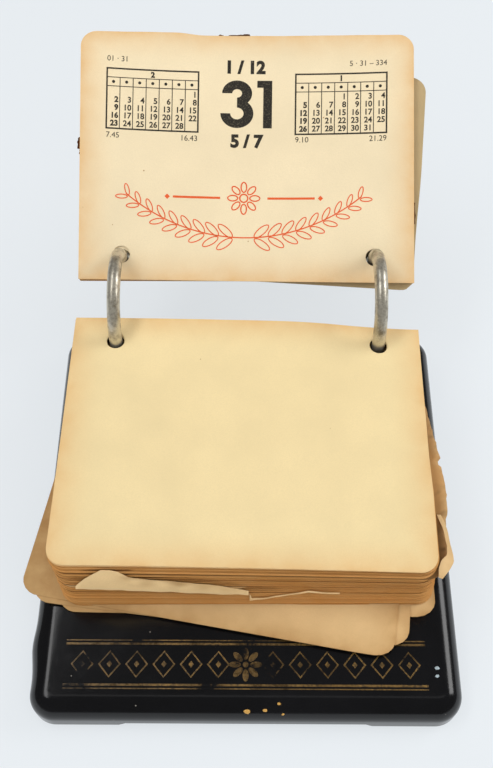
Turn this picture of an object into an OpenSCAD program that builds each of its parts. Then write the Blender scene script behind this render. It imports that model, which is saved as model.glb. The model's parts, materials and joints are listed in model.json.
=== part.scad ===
// Desk calendar with turn-over leaves on a wire bow, standing on a pressed steel base.
// Millimetres. +X right, +Y away from the reader, +Z up; the origin is the middle of the desk face.

/* [Base] */
// Width of the pressed steel base
base_w = 121; // [110:1:140]
// Depth of the base along its top
base_d = 126; // [110:1:150]
// Height of the top at the front edge
front_h = 10.5; // [8:0.5:16]
// Slope of the top, lower at the front
top_slope = 3; // [1:0.5:6]
// Thickness of the sheet
sheet_t = 0.8; // [0.6:0.1:1.5]
// Corner radius in plan
corner_r = 7.5; // [7.5:0.5:14]
// Radius rolled over the top edge
edge_r = 6; // [3:0.5:7]
// Length of each foot, from the outer corner
foot_len = 25; // [18:1:35]
// Height of the cut-outs between the feet
foot_h = 2; // [1:0.25:4]

/* [Leaves] */
// Width of a leaf
leaf_w = 106; // [96:1:108]
// Length of a leaf
leaf_l = 80; // [70:1:86]
// Radius of the two corners at the free edge
leaf_corner_r = 4; // [2:0.5:8]
// Distance between the two holes
hole_pitch = 80; // [70:1:84]
// Diameter of a hole
hole_d = 5.5; // [5.2:0.1:6]
// From the hole row to the near edge of a leaf
hole_inset = 8; // [7:0.25:10]
// Thickness of a single leaf with the few that cling to it
leaf_t = 0.4; // [0.3:0.05:0.6]
// Thickness of one month of leaves
month_t = 2.05; // [1.6:0.05:2.4]
// Room that a turning leaf keeps from the leaves beside it
turn_gap = 0.3; // [0.2:0.05:0.5]
// How far the months stand out of line
month_jog = 0.3; // [0:0.05:0.4]
// How far the lowest leaves of the block lie forward of the top one
block_lean = 2.2; // [0.5:0.1:3]

/* [Bow] */
// Diameter of the wire
wire_d = 4; // [3:0.1:4.2]
// Radius of the arches at the middle of the wire
arch_r = 15.1; // [14:0.1:20]
// Rise of the turned leaves to the back, from level
turned_angle = 31.7; // [25:0.1:45]
// Depth of the arch centre under the top of the leaves
centre_drop = 1.6; // [1:0.1:3]
// Radius of the bend under the turned leaves
bend_r = 6; // [5:0.5:7]
// From the holes up to the cross bar of the back rest
rest_l = 58; // [45:1:66]
// Radius of the two corners of the back rest
rest_corner_r = 10; // [6:1:16]
// From the rear edge of the base to the legs
row_back = 20.5; // [18:0.1:30]

/* [Sockets] */
// Outer diameter of a socket
socket_d = 7; // [6:0.25:9]
// Depth of a socket under the top of the base
socket_l = 12.5; // [10.5:0.25:13.5]
// Thickness of the floor of a socket
socket_floor = 1.5; // [1:0.25:2]
// Radial clearance of a leg in its socket
leg_play = 0.05; // [0.02:0.01:0.1]
// Width of the strip under the top
strip_w = 16; // [12:1:20]
// Thickness of the strip
strip_t = 1.5; // [1:0.25:2]
// Diameter of the rivets
rivet_d = 3; // [2:0.25:4]
// From a socket inwards to the rivet beside it
rivet_reach = 9; // [7:0.5:20]

/* [Worn leaves] */
// Turn of the lowest loose leaf about the left leg
low_turn = 0.6; // [0.2:0.1:2.5]
// How far that leaf is pulled towards the front
low_slip = 4.8; // [3:0.1:5]
// Turn of the loose leaf above it
mid_turn = 7; // [6.5:0.5:10]
// How far that leaf is pulled towards the front
mid_slip = 3.8; // [0.5:0.1:4.6]
// Turn of the upper loose leaf
high_turn = 10; // [9.5:0.5:13]
// How far that leaf is pulled towards the front
high_slip = 2.6; // [0.5:0.1:4.6]
// How far the dog-eared leaf stands out at the front
dog_ear_out = 1.4; // [0.5:0.1:2]
// Width of its pushed-out stretch
dog_ear_w = 46; // [30:1:60]
// How far the torn leaf stands out at the right
torn_out = 4.2; // [2:0.1:5]
// Height of the card behind the turned leaves
card_l = 70; // [56:1:76]
// From its hole row to its near edge
card_inset = 10.2; // [8:0.2:12]
// Turn of that card about the right leg
card_turn = 3.2; // [2:0.1:4.5]

/* [Hidden] */
$fn = 64;
join_play = 0.02;                 // radial play of parts that stay fixed
end_play = 0.1;                   // play of a leg above its socket floor, and of the card on the wire
joint_l = 0.3;                    // length of the rings where stretches of the wire meet
over = 1;                         // overrun of cutting solids
row_front = base_d - row_back;    // from the front edge to the legs, along the top
leg_x = hole_pitch / 2;
wire_r = wire_d / 2;
pan_h = front_h + base_d * sin(top_slope) + 2 * edge_r;
strip_l = hole_pitch + strip_w;
strip_z = -sheet_t - strip_t;
rivet_head_d = 1.8 * rivet_d;
rivet_head_h = 0.4 * rivet_d;

// Heights in the pile, from the top of the base
MONTHS = ["february", "march", "april", "may", "june", "july",
          "august", "september", "october", "november", "december"];
month_count = len(MONTHS);
dog_ear_over = 6;                 // months under the dog-eared leaf
torn_over = 9;                    // months under the torn leaf
low_z = 0;
mid_z = low_z + leaf_t;
high_z = mid_z + leaf_t;
pile_z = high_z + leaf_t;
function loose_under(k) = (k >= dog_ear_over ? 1 : 0) + (k >= torn_over ? 1 : 0);
function month_z(k) = pile_z + k * month_t + loose_under(k) * leaf_t;
dog_ear_z = month_z(dog_ear_over) - leaf_t;
torn_z = month_z(torn_over) - leaf_t;
notes_z = month_z(month_count) + turn_gap;
pile_top = notes_z + leaf_t;

// Levels of the turned leaves, measured square to them from the arch centre
lean = turned_angle - top_slope;
date_top = -centre_drop - turn_gap;
date_low = date_top - leaf_t;
january_top = date_low - turn_gap;
january_low = january_top - month_t;
card_low = january_low - leaf_t;
function on_arch(level) = sqrt(arch_r * arch_r - level * level);
date_row = on_arch(date_low);
january_row = on_arch((january_top + january_low) / 2);
card_row = on_arch((january_low + card_low) / 2);

// The wire behind the turned leaves: a bend, then two arms that close on the leaves at the cross bar
arch_end = asin((end_play - card_low) / arch_r);
bend_y = (arch_r + bend_r) * cos(arch_end);
bend_z = -(arch_r + bend_r) * sin(arch_end);
bar_y = date_row + rest_l;
bar_z = card_low - end_play - wire_r;
bar_reach = norm([bar_y - bend_y, bar_z - bend_z]);
arm_rise = atan2(bar_z - bend_z, bar_y - bend_y) + asin(bend_r / bar_reach);
arm_l = sqrt(bar_reach * bar_reach - bend_r * bend_r) - rest_corner_r;
bend_turn = arch_end + 90 + arm_rise;

lacquer = [0.06, 0.06, 0.07];
steel = [0.62, 0.61, 0.57];
buff = [0.94, 0.85, 0.66];
tan_paper = [0.84, 0.66, 0.44];
brown_edge = [0.72, 0.52, 0.30];
khaki = [0.66, 0.62, 0.48];

// Places

// The top of the base, y from its front edge
module on_top() {
    translate([0, -base_d / 2, front_h]) rotate([top_slope, 0, 0]) children();
}

// The top of the base, at the middle of the row of legs
module on_row() {
    on_top() translate([0, row_front, 0]) children();
}

// The arch centre, y along the turned leaves and z square to them
module on_turned() {
    on_row() translate([0, arch_r, pile_top - centre_drop]) rotate([lean, 0, 0]) children();
}

// Both sides, left and right
module both_sides() {
    for (side = [-1, 1]) translate([side * leg_x, 0, 0]) children();
}

// Turns a plane shape up into the plane across X, its x to +Y and its y to +Z
module across_x() {
    rotate([90, 0, 90]) children();
}

// Base

// Section through a wall of the pan, out from the inner line, with the top edge rolled over
module wall_section(reach, height, roll) {
    difference() {
        translate([0, -height]) square([reach, height]);
        translate([reach - roll, -roll]) difference() {
            square(roll + over);
            circle(roll);
        }
    }
}

// A solid pan with its top at z 0 and its front at y 0
module pan(width, depth, radius, height, roll) {
    inner_x = width / 2 - radius;
    inner_y = depth - 2 * radius;
    translate([-inner_x, radius, -height]) cube([2 * inner_x, inner_y, height]);
    for (side = [-1, 1]) {
        translate([side * inner_x, radius + (side + 1) / 2 * inner_y, 0])
            rotate([90, 0, side * 90 + 90]) rotate([0, 180, 0])
            linear_extrude(inner_y) wall_section(radius, height, roll);
        translate([-side * inner_x, radius + (side + 1) / 2 * inner_y, 0])
            rotate([90, 0, side * 90])
            linear_extrude(2 * inner_x) wall_section(radius, height, roll);
    }
    for (corner = [[1, 1, 0], [-1, 1, 90], [-1, 0, 180], [1, 0, 270]])
        translate([corner[0] * inner_x, radius + corner[1] * inner_y, 0])
            rotate([0, 0, corner[2]]) rotate_extrude(angle = 90) wall_section(radius, height, roll);
}

// The gap under one side of the skirt, with sloped ends, along x
module foot_gap(length, depth) {
    translate([0, depth, 0]) rotate([90, 0, 0]) linear_extrude(2 * depth)
        polygon([[-length / 2 - over - foot_h, -over - foot_h], [length / 2 + over + foot_h, -over - foot_h],
                 [length / 2 - foot_h, foot_h], [-length / 2 + foot_h, foot_h]]);
}

module base_shell() {
    color(lacquer) difference() {
        on_top() difference() {
            pan(base_w, base_d, corner_r, pan_h, edge_r);
            translate([0, sheet_t, -sheet_t])
                pan(base_w - 2 * sheet_t, base_d - 2 * sheet_t, corner_r - sheet_t, pan_h, edge_r - sheet_t);
            translate([0, row_front, 0]) {
                both_sides() cylinder(d = socket_d + 2 * join_play, h = 3 * sheet_t, center = true);
                rivet_places() cylinder(d = rivet_d + 2 * join_play, h = 3 * sheet_t, center = true);
            }
        }
        translate([-base_w, -base_d, -2 * pan_h]) cube([2 * base_w, 2 * base_d, 2 * pan_h]);
        foot_gap(base_w - 2 * foot_len, base_d);
        rotate([0, 0, 90]) foot_gap(base_d - 2 * foot_len, base_w);
    }
}

// Sockets under the top

module rivet_places() {
    for (side = [-1, 0, 1]) translate([side * (leg_x - rivet_reach), 0, 0]) children();
}

module bridge_strip() {
    color(steel) on_row() difference() {
        translate([-strip_l / 2, -strip_w / 2, strip_z]) cube([strip_l, strip_w, strip_t]);
        both_sides() translate([0, 0, strip_z - over])
            cylinder(d = socket_d + 2 * join_play, h = strip_t + 2 * over);
        rivet_places() translate([0, 0, strip_z - over])
            cylinder(d = rivet_d + 2 * join_play, h = strip_t + 2 * over);
    }
}

// A tube closed at the foot, swaged flush with the top and held by a collar under the strip
module socket(side) {
    collar_d = socket_d + 2 * strip_t;
    on_row() translate([side * leg_x, 0, 0]) difference() {
        union() {
            translate([0, 0, -socket_l]) cylinder(d = socket_d, h = socket_l);
            translate([0, 0, strip_z - strip_t]) cylinder(d = collar_d, h = strip_t);
        }
        translate([0, 0, socket_floor - socket_l])
            cylinder(d = wire_d + 2 * leg_play, h = socket_l);
    }
}

module socket_left() { color(steel) socket(-1); }
module socket_right() { color(steel) socket(1); }

module bridge_rivets() {
    color(steel) on_row() rivet_places() {
        translate([0, 0, strip_z]) cylinder(d = rivet_d, h = -strip_z);
        translate([0, 0, strip_z - rivet_head_h]) cylinder(d = rivet_head_d, h = rivet_head_h);
    }
}

// Bow: one wire from the left socket over the left arch, behind the leaves and back to the right

module wire_turn(radius, from, angle) {
    rotate([0, 0, from]) rotate_extrude(angle = angle) translate([radius, 0]) circle(wire_r);
}

module wire_run(length) {
    cylinder(r = wire_r, h = length);
}

// A ring a hair wider than the wire, over the line where two stretches of it meet
module wire_joint() {
    cylinder(r = wire_r + join_play, h = joint_l, center = true);
}

// Start of an arm of the back rest, at the end of the bend, y along the arm
module on_arm() {
    on_turned() translate([0, bend_y, bend_z]) rotate([arm_rise, 0, 0]) translate([0, 0, -bend_r]) children();
}

module wire_side() {
    leg_low = socket_floor + end_play - socket_l;
    centre_z = pile_top - centre_drop;
    on_row() {
        translate([0, 0, leg_low]) wire_run(centre_z - leg_low);
        translate([0, 0, centre_z]) wire_joint();
    }
    on_turned() {
        across_x() wire_turn(arch_r, -arch_end, 180 - lean + arch_end);
        rotate([-arch_end, 0, 0]) translate([0, arch_r, 0]) wire_joint();
        translate([0, bend_y, bend_z]) across_x() wire_turn(bend_r, 180 - arch_end, bend_turn);
    }
    on_arm() rotate([-90, 0, 0]) {
        wire_joint();
        wire_run(arm_l);
        translate([0, 0, arm_l]) wire_joint();
    }
}

module wire_bow() {
    color(steel) {
        both_sides() wire_side();
        on_arm() translate([0, arm_l, 0]) {
            for (side = [-1, 1]) translate([side * (leg_x - rest_corner_r), 0, 0])
                wire_turn(rest_corner_r, 45 - side * 45, 90);
            translate([rest_corner_r - leg_x, rest_corner_r, 0]) rotate([0, 90, 0])
                wire_run(hole_pitch - 2 * rest_corner_r);
        }
    }
}

// Leaves

// Rounds off a corner at the origin whose sides run to +x and +y
module corner_cut(radius) {
    difference() {
        translate([-over, -over]) square(radius + over);
        translate([radius, radius]) circle(radius);
    }
}

// Outline of a leaf about the middle of its hole row, free edge at -y
module leaf_outline(length = leaf_l, inset = hole_inset) {
    difference() {
        translate([-leaf_w / 2, inset - length]) square([leaf_w, length]);
        for (side = [0, 1]) mirror([side, 0]) translate([-leaf_w / 2, inset - length])
            corner_cut(leaf_corner_r);
    }
}

module leaf_holes() {
    for (side = [-1, 1]) translate([side * leg_x, 0]) circle(d = hole_d);
}

// A leaf pulled forwards, its holes worn longer
module slipped_leaf(slip, thickness) {
    linear_extrude(thickness) difference() {
        translate([0, -slip]) union() {
            leaf_outline();
            children();
        }
        for (side = [-1, 1]) translate([side * leg_x, -slip]) torn_hole(slip, 90);
    }
}

function lean_slip(level) = block_lean * (1 - level / pile_top);

module plain_leaf(thickness) {
    linear_extrude(thickness) difference() {
        leaf_outline();
        leaf_holes();
    }
}

// A hole torn open along a straight rip
module torn_hole(length, direction) {
    circle(d = hole_d);
    rotate(direction) translate([0, -hole_d / 2]) square([length, hole_d]);
    rotate(direction) translate([length, 0]) circle(d = hole_d);
}

// A loose leaf swung about the left leg and pulled forwards: its left hole is torn longer,
// its right hole is torn out to the near edge
module loose_leaf(turn, slip) {
    color(tan_paper) on_row() translate([-leg_x, -slip, 0]) rotate(-turn) translate([leg_x, 0, 0])
        linear_extrude(leaf_t) difference() {
            leaf_outline();
            translate([-leg_x, 0]) torn_hole(slip, 90 + turn);
            translate([leg_x, 0]) torn_hole(hole_inset + hole_d, 90 + low_turn / 2);
        }
}

module loose_leaf_low() { raised(low_z) loose_leaf(low_turn, low_slip); }
module loose_leaf_mid() { raised(mid_z) loose_leaf(mid_turn, mid_slip); }
module loose_leaf_high() { raised(high_z) loose_leaf(high_turn, high_slip); }

// Lifts a leaf square to the top of the base
module raised(height) {
    translate([0, -height * sin(top_slope), height * cos(top_slope)]) children();
}

function jog(k, step) = month_jog * sin(k * step);

module month_leaves(k) {
    color(brown_edge) on_row() translate([jog(k, 137), jog(k, 97), month_z(k)]) rotate(jog(k, 61))
        slipped_leaf(lean_slip(month_z(k)), month_t);
}

module dog_eared_leaf() {
    color(buff) on_row() translate([0, 0, dog_ear_z]) slipped_leaf(lean_slip(dog_ear_z), leaf_t)
        translate([-leaf_w / 2 + leaf_corner_r, hole_inset - leaf_l - dog_ear_out])
            square([dog_ear_w, leaf_l / 2]);
}

// A leaf pulled to the right off its holes, with a ragged edge there
module torn_leaf() {
    edge_x = leaf_w / 2;
    front_y = hole_inset - leaf_l;
    color(tan_paper) on_row() translate([torn_out, 0, torn_z]) linear_extrude(leaf_t) difference() {
        leaf_outline();
        for (side = [-1, 1]) translate([side * leg_x, 0]) torn_hole(torn_out, 180);
        translate([edge_x, front_y + leaf_l / 2])
            polygon([[over, -4], [-1.6, -2], [-0.8, 1], [-2.4, 3], [-0.6, 6], [over, 7]]);
        translate([edge_x, front_y + leaf_l / 8])
            polygon([[over, -3], [-2.2, 0], [-1, 3], [over, 5]]);
    }
}

module notes_leaf() {
    color(buff) on_row() translate([0, 0, notes_z]) plain_leaf(leaf_t);
}

// Places a leaf among the turned ones: its free edge up and its holes on the arch
module turned_leaf(row, low) {
    on_turned() translate([0, row, low]) mirror([0, 1, 0]) children();
}

module date_leaf() {
    color(buff) turned_leaf(date_row, date_low) plain_leaf(leaf_t);
}

module january_leaves() {
    color(brown_edge) turned_leaf(january_row, january_low) plain_leaf(month_t);
}

// A shorter card behind them, turned about the right leg, its left hole torn down to the near edge
module card_leaf() {
    color(khaki) turned_leaf(card_row, card_low) translate([leg_x, 0, 0]) rotate(card_turn)
        translate([-leg_x, 0, 0]) linear_extrude(leaf_t) difference() {
            leaf_outline(card_l, card_inset);
            translate([leg_x, 0]) circle(d = hole_d);
            translate([-leg_x, 0]) torn_hole(card_inset + hole_d, 90);
        }
}

base_shell();
bridge_strip();
socket_left();
socket_right();
bridge_rivets();
wire_bow();
loose_leaf_low();
loose_leaf_mid();
loose_leaf_high();
dog_eared_leaf();
torn_leaf();
notes_leaf();
date_leaf();
january_leaves();
card_leaf();
for (k = [0 : month_count - 1])
    month_leaves(month_count - 1 - k);
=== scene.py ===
"""Looks of a turn-over desk calendar: lacquered base, wire bow and browned leaves."""
import json
import math
import random

import bmesh
import bpy
from bpy.props import FloatProperty, FloatVectorProperty, PointerProperty
from bpy.types import Operator, Panel, PropertyGroup
from mathutils import Matrix, Vector, noise


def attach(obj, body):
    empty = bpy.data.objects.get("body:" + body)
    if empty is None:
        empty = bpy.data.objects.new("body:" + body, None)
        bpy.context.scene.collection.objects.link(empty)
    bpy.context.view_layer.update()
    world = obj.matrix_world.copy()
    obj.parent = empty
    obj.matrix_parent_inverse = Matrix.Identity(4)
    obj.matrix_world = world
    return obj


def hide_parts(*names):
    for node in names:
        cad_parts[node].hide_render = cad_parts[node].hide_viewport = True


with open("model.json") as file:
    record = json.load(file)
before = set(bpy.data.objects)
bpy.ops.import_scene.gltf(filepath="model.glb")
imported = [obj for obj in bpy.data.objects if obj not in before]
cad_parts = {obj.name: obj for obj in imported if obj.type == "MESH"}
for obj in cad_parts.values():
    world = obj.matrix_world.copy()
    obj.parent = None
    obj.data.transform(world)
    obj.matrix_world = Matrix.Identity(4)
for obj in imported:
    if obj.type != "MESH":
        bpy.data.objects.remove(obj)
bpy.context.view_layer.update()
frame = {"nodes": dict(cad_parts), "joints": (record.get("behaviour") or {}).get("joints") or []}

bl_info = {
    "name": "Turn-over desk calendar",
    "version": (1, 0, 0),
    "blender": (4, 5, 0),
    "location": "View3D > Sidebar > Calendar",
    "description": "Builds the looks of a desk calendar with leaves on a wire bow",
    "category": "Object",
}

# Mesh code works in millimetres, and place() turns a finished mesh into metres.
MM = 0.001


# Sizes and colours that a user would change

def length(name, description, millimetres):
    """A length property with its default in millimetres."""
    return FloatProperty(name=name, description=description, default=millimetres * MM,
                         unit="LENGTH", subtype="DISTANCE", precision=5)


def slant(name, description, degrees):
    """An angle property with its default in degrees."""
    return FloatProperty(name=name, description=description, default=math.radians(degrees),
                         unit="ROTATION", subtype="ANGLE")


def linear(level):
    """Linear value of a display level from 0 to 255."""
    share = level / 255
    return share / 12.92 if share <= 0.04045 else ((share + 0.055) / 1.055) ** 2.4


def colour(name, description, red, green, blue):
    """A colour property with its default in display levels from 0 to 255."""
    return FloatVectorProperty(name=name, description=description, subtype="COLOR", size=4, min=0, max=1,
                               default=(linear(red), linear(green), linear(blue), 1))


def power(name, description, watts):
    """A light's power property."""
    return FloatProperty(name=name, description=description, default=watts, unit="POWER")


class BaseSizes(PropertyGroup):
    """Sizes of the pressed base."""
    width: length("Width", "Width of the base", 121)
    depth: length("Depth", "Depth of the base along its top", 126)
    front_height: length("Front height", "Height of the top at the front edge", 10.5)
    sheet: length("Sheet", "Thickness of the steel sheet", 0.8)
    corner: length("Corner radius", "Radius of the corners in plan", 7.5)
    roll: length("Edge radius", "Radius rolled over the top edge", 6)
    foot: length("Foot length", "Length of each foot from the outer corner", 25)
    foot_height: length("Foot height", "Height of the cut-outs between the feet", 2)
    row_back: length("Row set-back", "From the rear edge to the row of legs", 20.5)
    socket: length("Socket", "Diameter of the socket holes", 7.04)
    rivet: length("Rivet", "Diameter of the rivet holes", 3.04)
    rivet_reach: length("Rivet reach", "From a socket inwards to the rivet beside it", 9)


class LeafSizes(PropertyGroup):
    """Sizes of the leaves and of the pile."""
    width: length("Width", "Width of a leaf", 106)
    height: length("Length", "Length of a leaf", 80)
    corner: length("Corner radius", "Radius of the corners at the free edge", 5)
    pitch: length("Hole pitch", "Distance between the two holes", 80)
    hole: length("Hole", "Diameter of a hole", 5.5)
    inset: length("Hole inset", "From the hole row to the near edge", 8)
    leaf: length("Leaf", "Thickness of a leaf with the few that cling to it", 0.4)
    month: length("Month", "Thickness of one month of leaves", 2.05)
    gap: length("Turning gap", "Room that a turning leaf keeps", 0.3)
    lean: length("Block lean", "How far the lowest leaves lie forward of the top one", 2.2)
    card_height: length("Card length", "Length of the card behind the turned leaves", 70)
    card_inset: length("Card inset", "From the card's hole row to its near edge", 10.2)
    card_turn: slant("Card turn", "Turn of the card about the right leg", 3.2)


class BowSizes(PropertyGroup):
    """Sizes of the wire bow."""
    wire: length("Wire", "Diameter of the wire", 4)
    arch: length("Arch radius", "Radius of the arches at the middle of the wire", 15.1)
    drop: length("Centre drop", "Depth of the arch centre under the top of the leaves", 1.6)
    bend: length("Bend radius", "Radius of the bend under the turned leaves", 6)
    rest: length("Rest length", "From the holes up to the cross bar", 58)
    rest_corner: length("Rest corners", "Radius of the corners of the back rest", 10)
    play: length("Play", "Room between the wire and the card", 0.1)
    leg_foot: length("Leg foot", "Depth of the leg ends under the top of the base", 10.9)
    turned: slant("Turned leaves", "Rise of the turned leaves from level", 31.7)


class Finishes(PropertyGroup):
    """Colours of the finishes."""
    lacquer: colour("Lacquer", "Gloss black lacquer", 10, 10, 12)
    steel: colour("Steel", "Bare steel of strip, sockets and rivets", 168, 166, 160)
    nickel: colour("Nickel", "Dulled nickel of the wire", 208, 202, 186)
    tarnish: colour("Tarnish", "Brown spots on the nickel", 92, 76, 50)
    notes: colour("Notes leaf", "Yellowed blank paper", 241, 219, 168)
    date: colour("Date leaf", "Yellowed printed paper", 241, 223, 186)
    loose: colour("Loose leaves", "Browned paper of the loose leaves", 239, 206, 151)
    torn: colour("Torn leaf", "Darker paper of the torn leaf", 190, 144, 90)
    browned: colour("Browned rim", "Paper browned along its edges", 224, 178, 118)
    folded: colour("Dog-eared leaf", "Yellowed paper of the folded flap", 250, 214, 158)
    edge_light: colour("Light edges", "Lighter cut edges of the block", 210, 153, 86)
    edge_dark: colour("Dark edges", "Darker cut edges of the block", 84, 42, 10)
    khaki: colour("Card", "Grey khaki card", 202, 178, 134)
    black_ink: colour("Black ink", "Black printing ink", 44, 41, 36)
    orange_ink: colour("Orange ink", "Orange printing ink", 228, 96, 48)
    gold: colour("Gold", "Worn gold ornament", 128, 98, 44)
    ochre: colour("Ochre", "Dried drops of ochre paint", 206, 158, 78)
    pale_blue: colour("Pale blue", "Dried drops of pale blue paint", 168, 184, 190)
    floor: colour("Floor", "Pale floor", 234, 239, 243)


class StageSettings(PropertyGroup):
    """Lights of the stage."""
    left: power("Left light", "Power of the left strip light", 1.7)
    right: power("Right light", "Power of the right soft box", 3.0)
    front: power("Front line", "Power of the strip seen in the front edge", 0.12)
    above: power("Ceiling", "Power of the broad light above", 29)
    glow: FloatProperty(name="Floor glow", description="Share of the floor that is seen without shadow",
                        default=0.75)
    world: FloatProperty(name="World", description="Strength of the even light all round", default=0.14)


def mm(value):
    """A length property in millimetres."""
    return value / MM


def base_sizes():
    return bpy.context.scene.calendar_base


def leaf_sizes():
    return bpy.context.scene.calendar_leaves


def bow_sizes():
    return bpy.context.scene.calendar_bow


def finishes():
    return bpy.context.scene.calendar_finishes


# Places, in millimetres, worked out from the joints of the frame

def joint(name):
    return next(j for j in frame["joints"] if j["name"] == name)


LIFT_AXIS = Vector(joint("bow_lift")["axis"])
TOP_SLOPE = math.atan2(-LIFT_AXIS.y, LIFT_AXIS.z)
ARCH_CENTRE = Vector(joint("notes_leaf_turn")["pos_m"]) / MM
MONTHS = ("february", "march", "april", "may", "june", "july",
          "august", "september", "october", "november", "december")
# Loose leaves under the block, and months under the dog-eared leaf and under the torn one
LOOSE_UNDER = 3
DOG_EAR_OVER = 6
TORN_OVER = 9


class Pile:
    """Levels of the leaves: the block above the base, the turned leaves square to their own face."""

    def __init__(self):
        sizes, bow = leaf_sizes(), bow_sizes()
        self.leaf, self.month, self.gap = mm(sizes.leaf), mm(sizes.month), mm(sizes.gap)
        self.foot = LOOSE_UNDER * self.leaf
        self.notes = self.month_level(len(MONTHS)) + self.gap
        self.top = self.notes + self.leaf
        self.arch = mm(bow.arch)
        self.centre = self.top - mm(bow.drop)
        self.lean = bow.turned - TOP_SLOPE
        self.date = -mm(bow.drop) - self.gap - self.leaf
        self.january = self.date - self.gap - self.month
        self.card = self.january - self.leaf

    def month_level(self, months_under):
        loose = (months_under >= DOG_EAR_OVER) + (months_under >= TORN_OVER)
        return self.foot + months_under * self.month + loose * self.leaf

    def on_arch(self, level):
        """How far along the turned leaves the arch passes a level."""
        return math.sqrt(self.arch ** 2 - level ** 2)

    def row(self):
        """Middle of the row of legs on the base, y along its top."""
        to_row = Matrix.Translation((0, -self.arch, -self.centre))
        return Matrix.Translation(ARCH_CENTRE) @ Matrix.Rotation(TOP_SLOPE, 4, "X") @ to_row

    def lying(self, level):
        """A leaf of the block at a level above the base."""
        return self.row() @ Matrix.Translation((0, 0, level))

    def turned(self, level, thickness):
        """A leaf among the turned ones, y up the leaf from its hole row."""
        row = Matrix.Translation((0, self.on_arch(level + thickness / 2), level))
        turn = Matrix.Rotation(TOP_SLOPE + self.lean, 4, "X")
        return Matrix.Translation(ARCH_CENTRE) @ turn @ row


# Number tools

def smooth(start, end, value):
    """0 before start, 1 after end, eased between them; start may be the larger."""
    share = min(1.0, max(0.0, (value - start) / (end - start)))
    return share * share * (3 - 2 * share)


def between(table, x):
    """Values of a table at x, on straight lines between its rows."""
    for first, last in zip(table, table[1:]):
        if x <= last[0]:
            share = (x - first[0]) / (last[0] - first[0])
            return [a + share * (b - a) for a, b in zip(first[1:], last[1:])]
    return table[-1][1:]


def soft_wave(seed, size):
    """A smooth height field of about plus or minus one."""
    def height(x, y):
        return noise.noise(Vector((x / size, y / size, seed)))
    return height


# Mesh tools

ON_PLANE = 1e-5


def new_verts(bm, count):
    """Vertices added since the bmesh had count of them."""
    bm.verts.ensure_lookup_table()
    return bm.verts[count:]


def bevel(bm, geom, radius, segments, affect="EDGES"):
    bmesh.ops.bevel(bm, geom=geom, offset=radius, segments=segments, profile=0.5,
                    affect=affect, material=-1)


def slice_along(bm, normal, point, **clear):
    """Cuts the whole mesh along a plane."""
    whole = bm.verts[:] + bm.edges[:] + bm.faces[:]
    bmesh.ops.bisect_plane(bm, geom=whole, plane_co=point, plane_no=normal, dist=ON_PLANE, **clear)


def half_turn(bm):
    """Turns a leaf half round in its plane, free edge to +y."""
    bmesh.ops.rotate(bm, matrix=Matrix.Rotation(math.pi, 3, "Z"), verts=bm.verts)


def laid(shift, turn):
    """A leaf's shift and its turn about the middle of its hole row."""
    return Matrix.Translation(shift) @ Matrix.Rotation(turn, 4, "Z")


def ring(bm, centre, radius, sides):
    """Edges of a circle square to Z."""
    made = bmesh.ops.create_circle(bm, radius=radius, segments=sides, matrix=Matrix.Translation(centre))
    return list({edge for vert in made["verts"] for edge in vert.link_edges})


def place(bm, name, matrix, materials, body, slot, nodes=(), sharp=35):
    """Turns a bmesh in millimetres into a piece in metres that rides on a body."""
    bmesh.ops.transform(bm, matrix=Matrix.Scale(MM, 4) @ matrix, verts=bm.verts)
    mesh = bpy.data.meshes.new(name)
    bm.to_mesh(mesh)
    bm.free()
    mesh.shade_smooth()
    mesh.set_sharp_from_angle(angle=math.radians(sharp))
    for material in materials:
        mesh.materials.append(material)
    piece = bpy.data.objects.new(name, mesh)
    bpy.context.scene.collection.objects.link(piece)
    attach(piece, body)
    if nodes:
        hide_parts(*nodes)
    return piece


# Material tools

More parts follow.
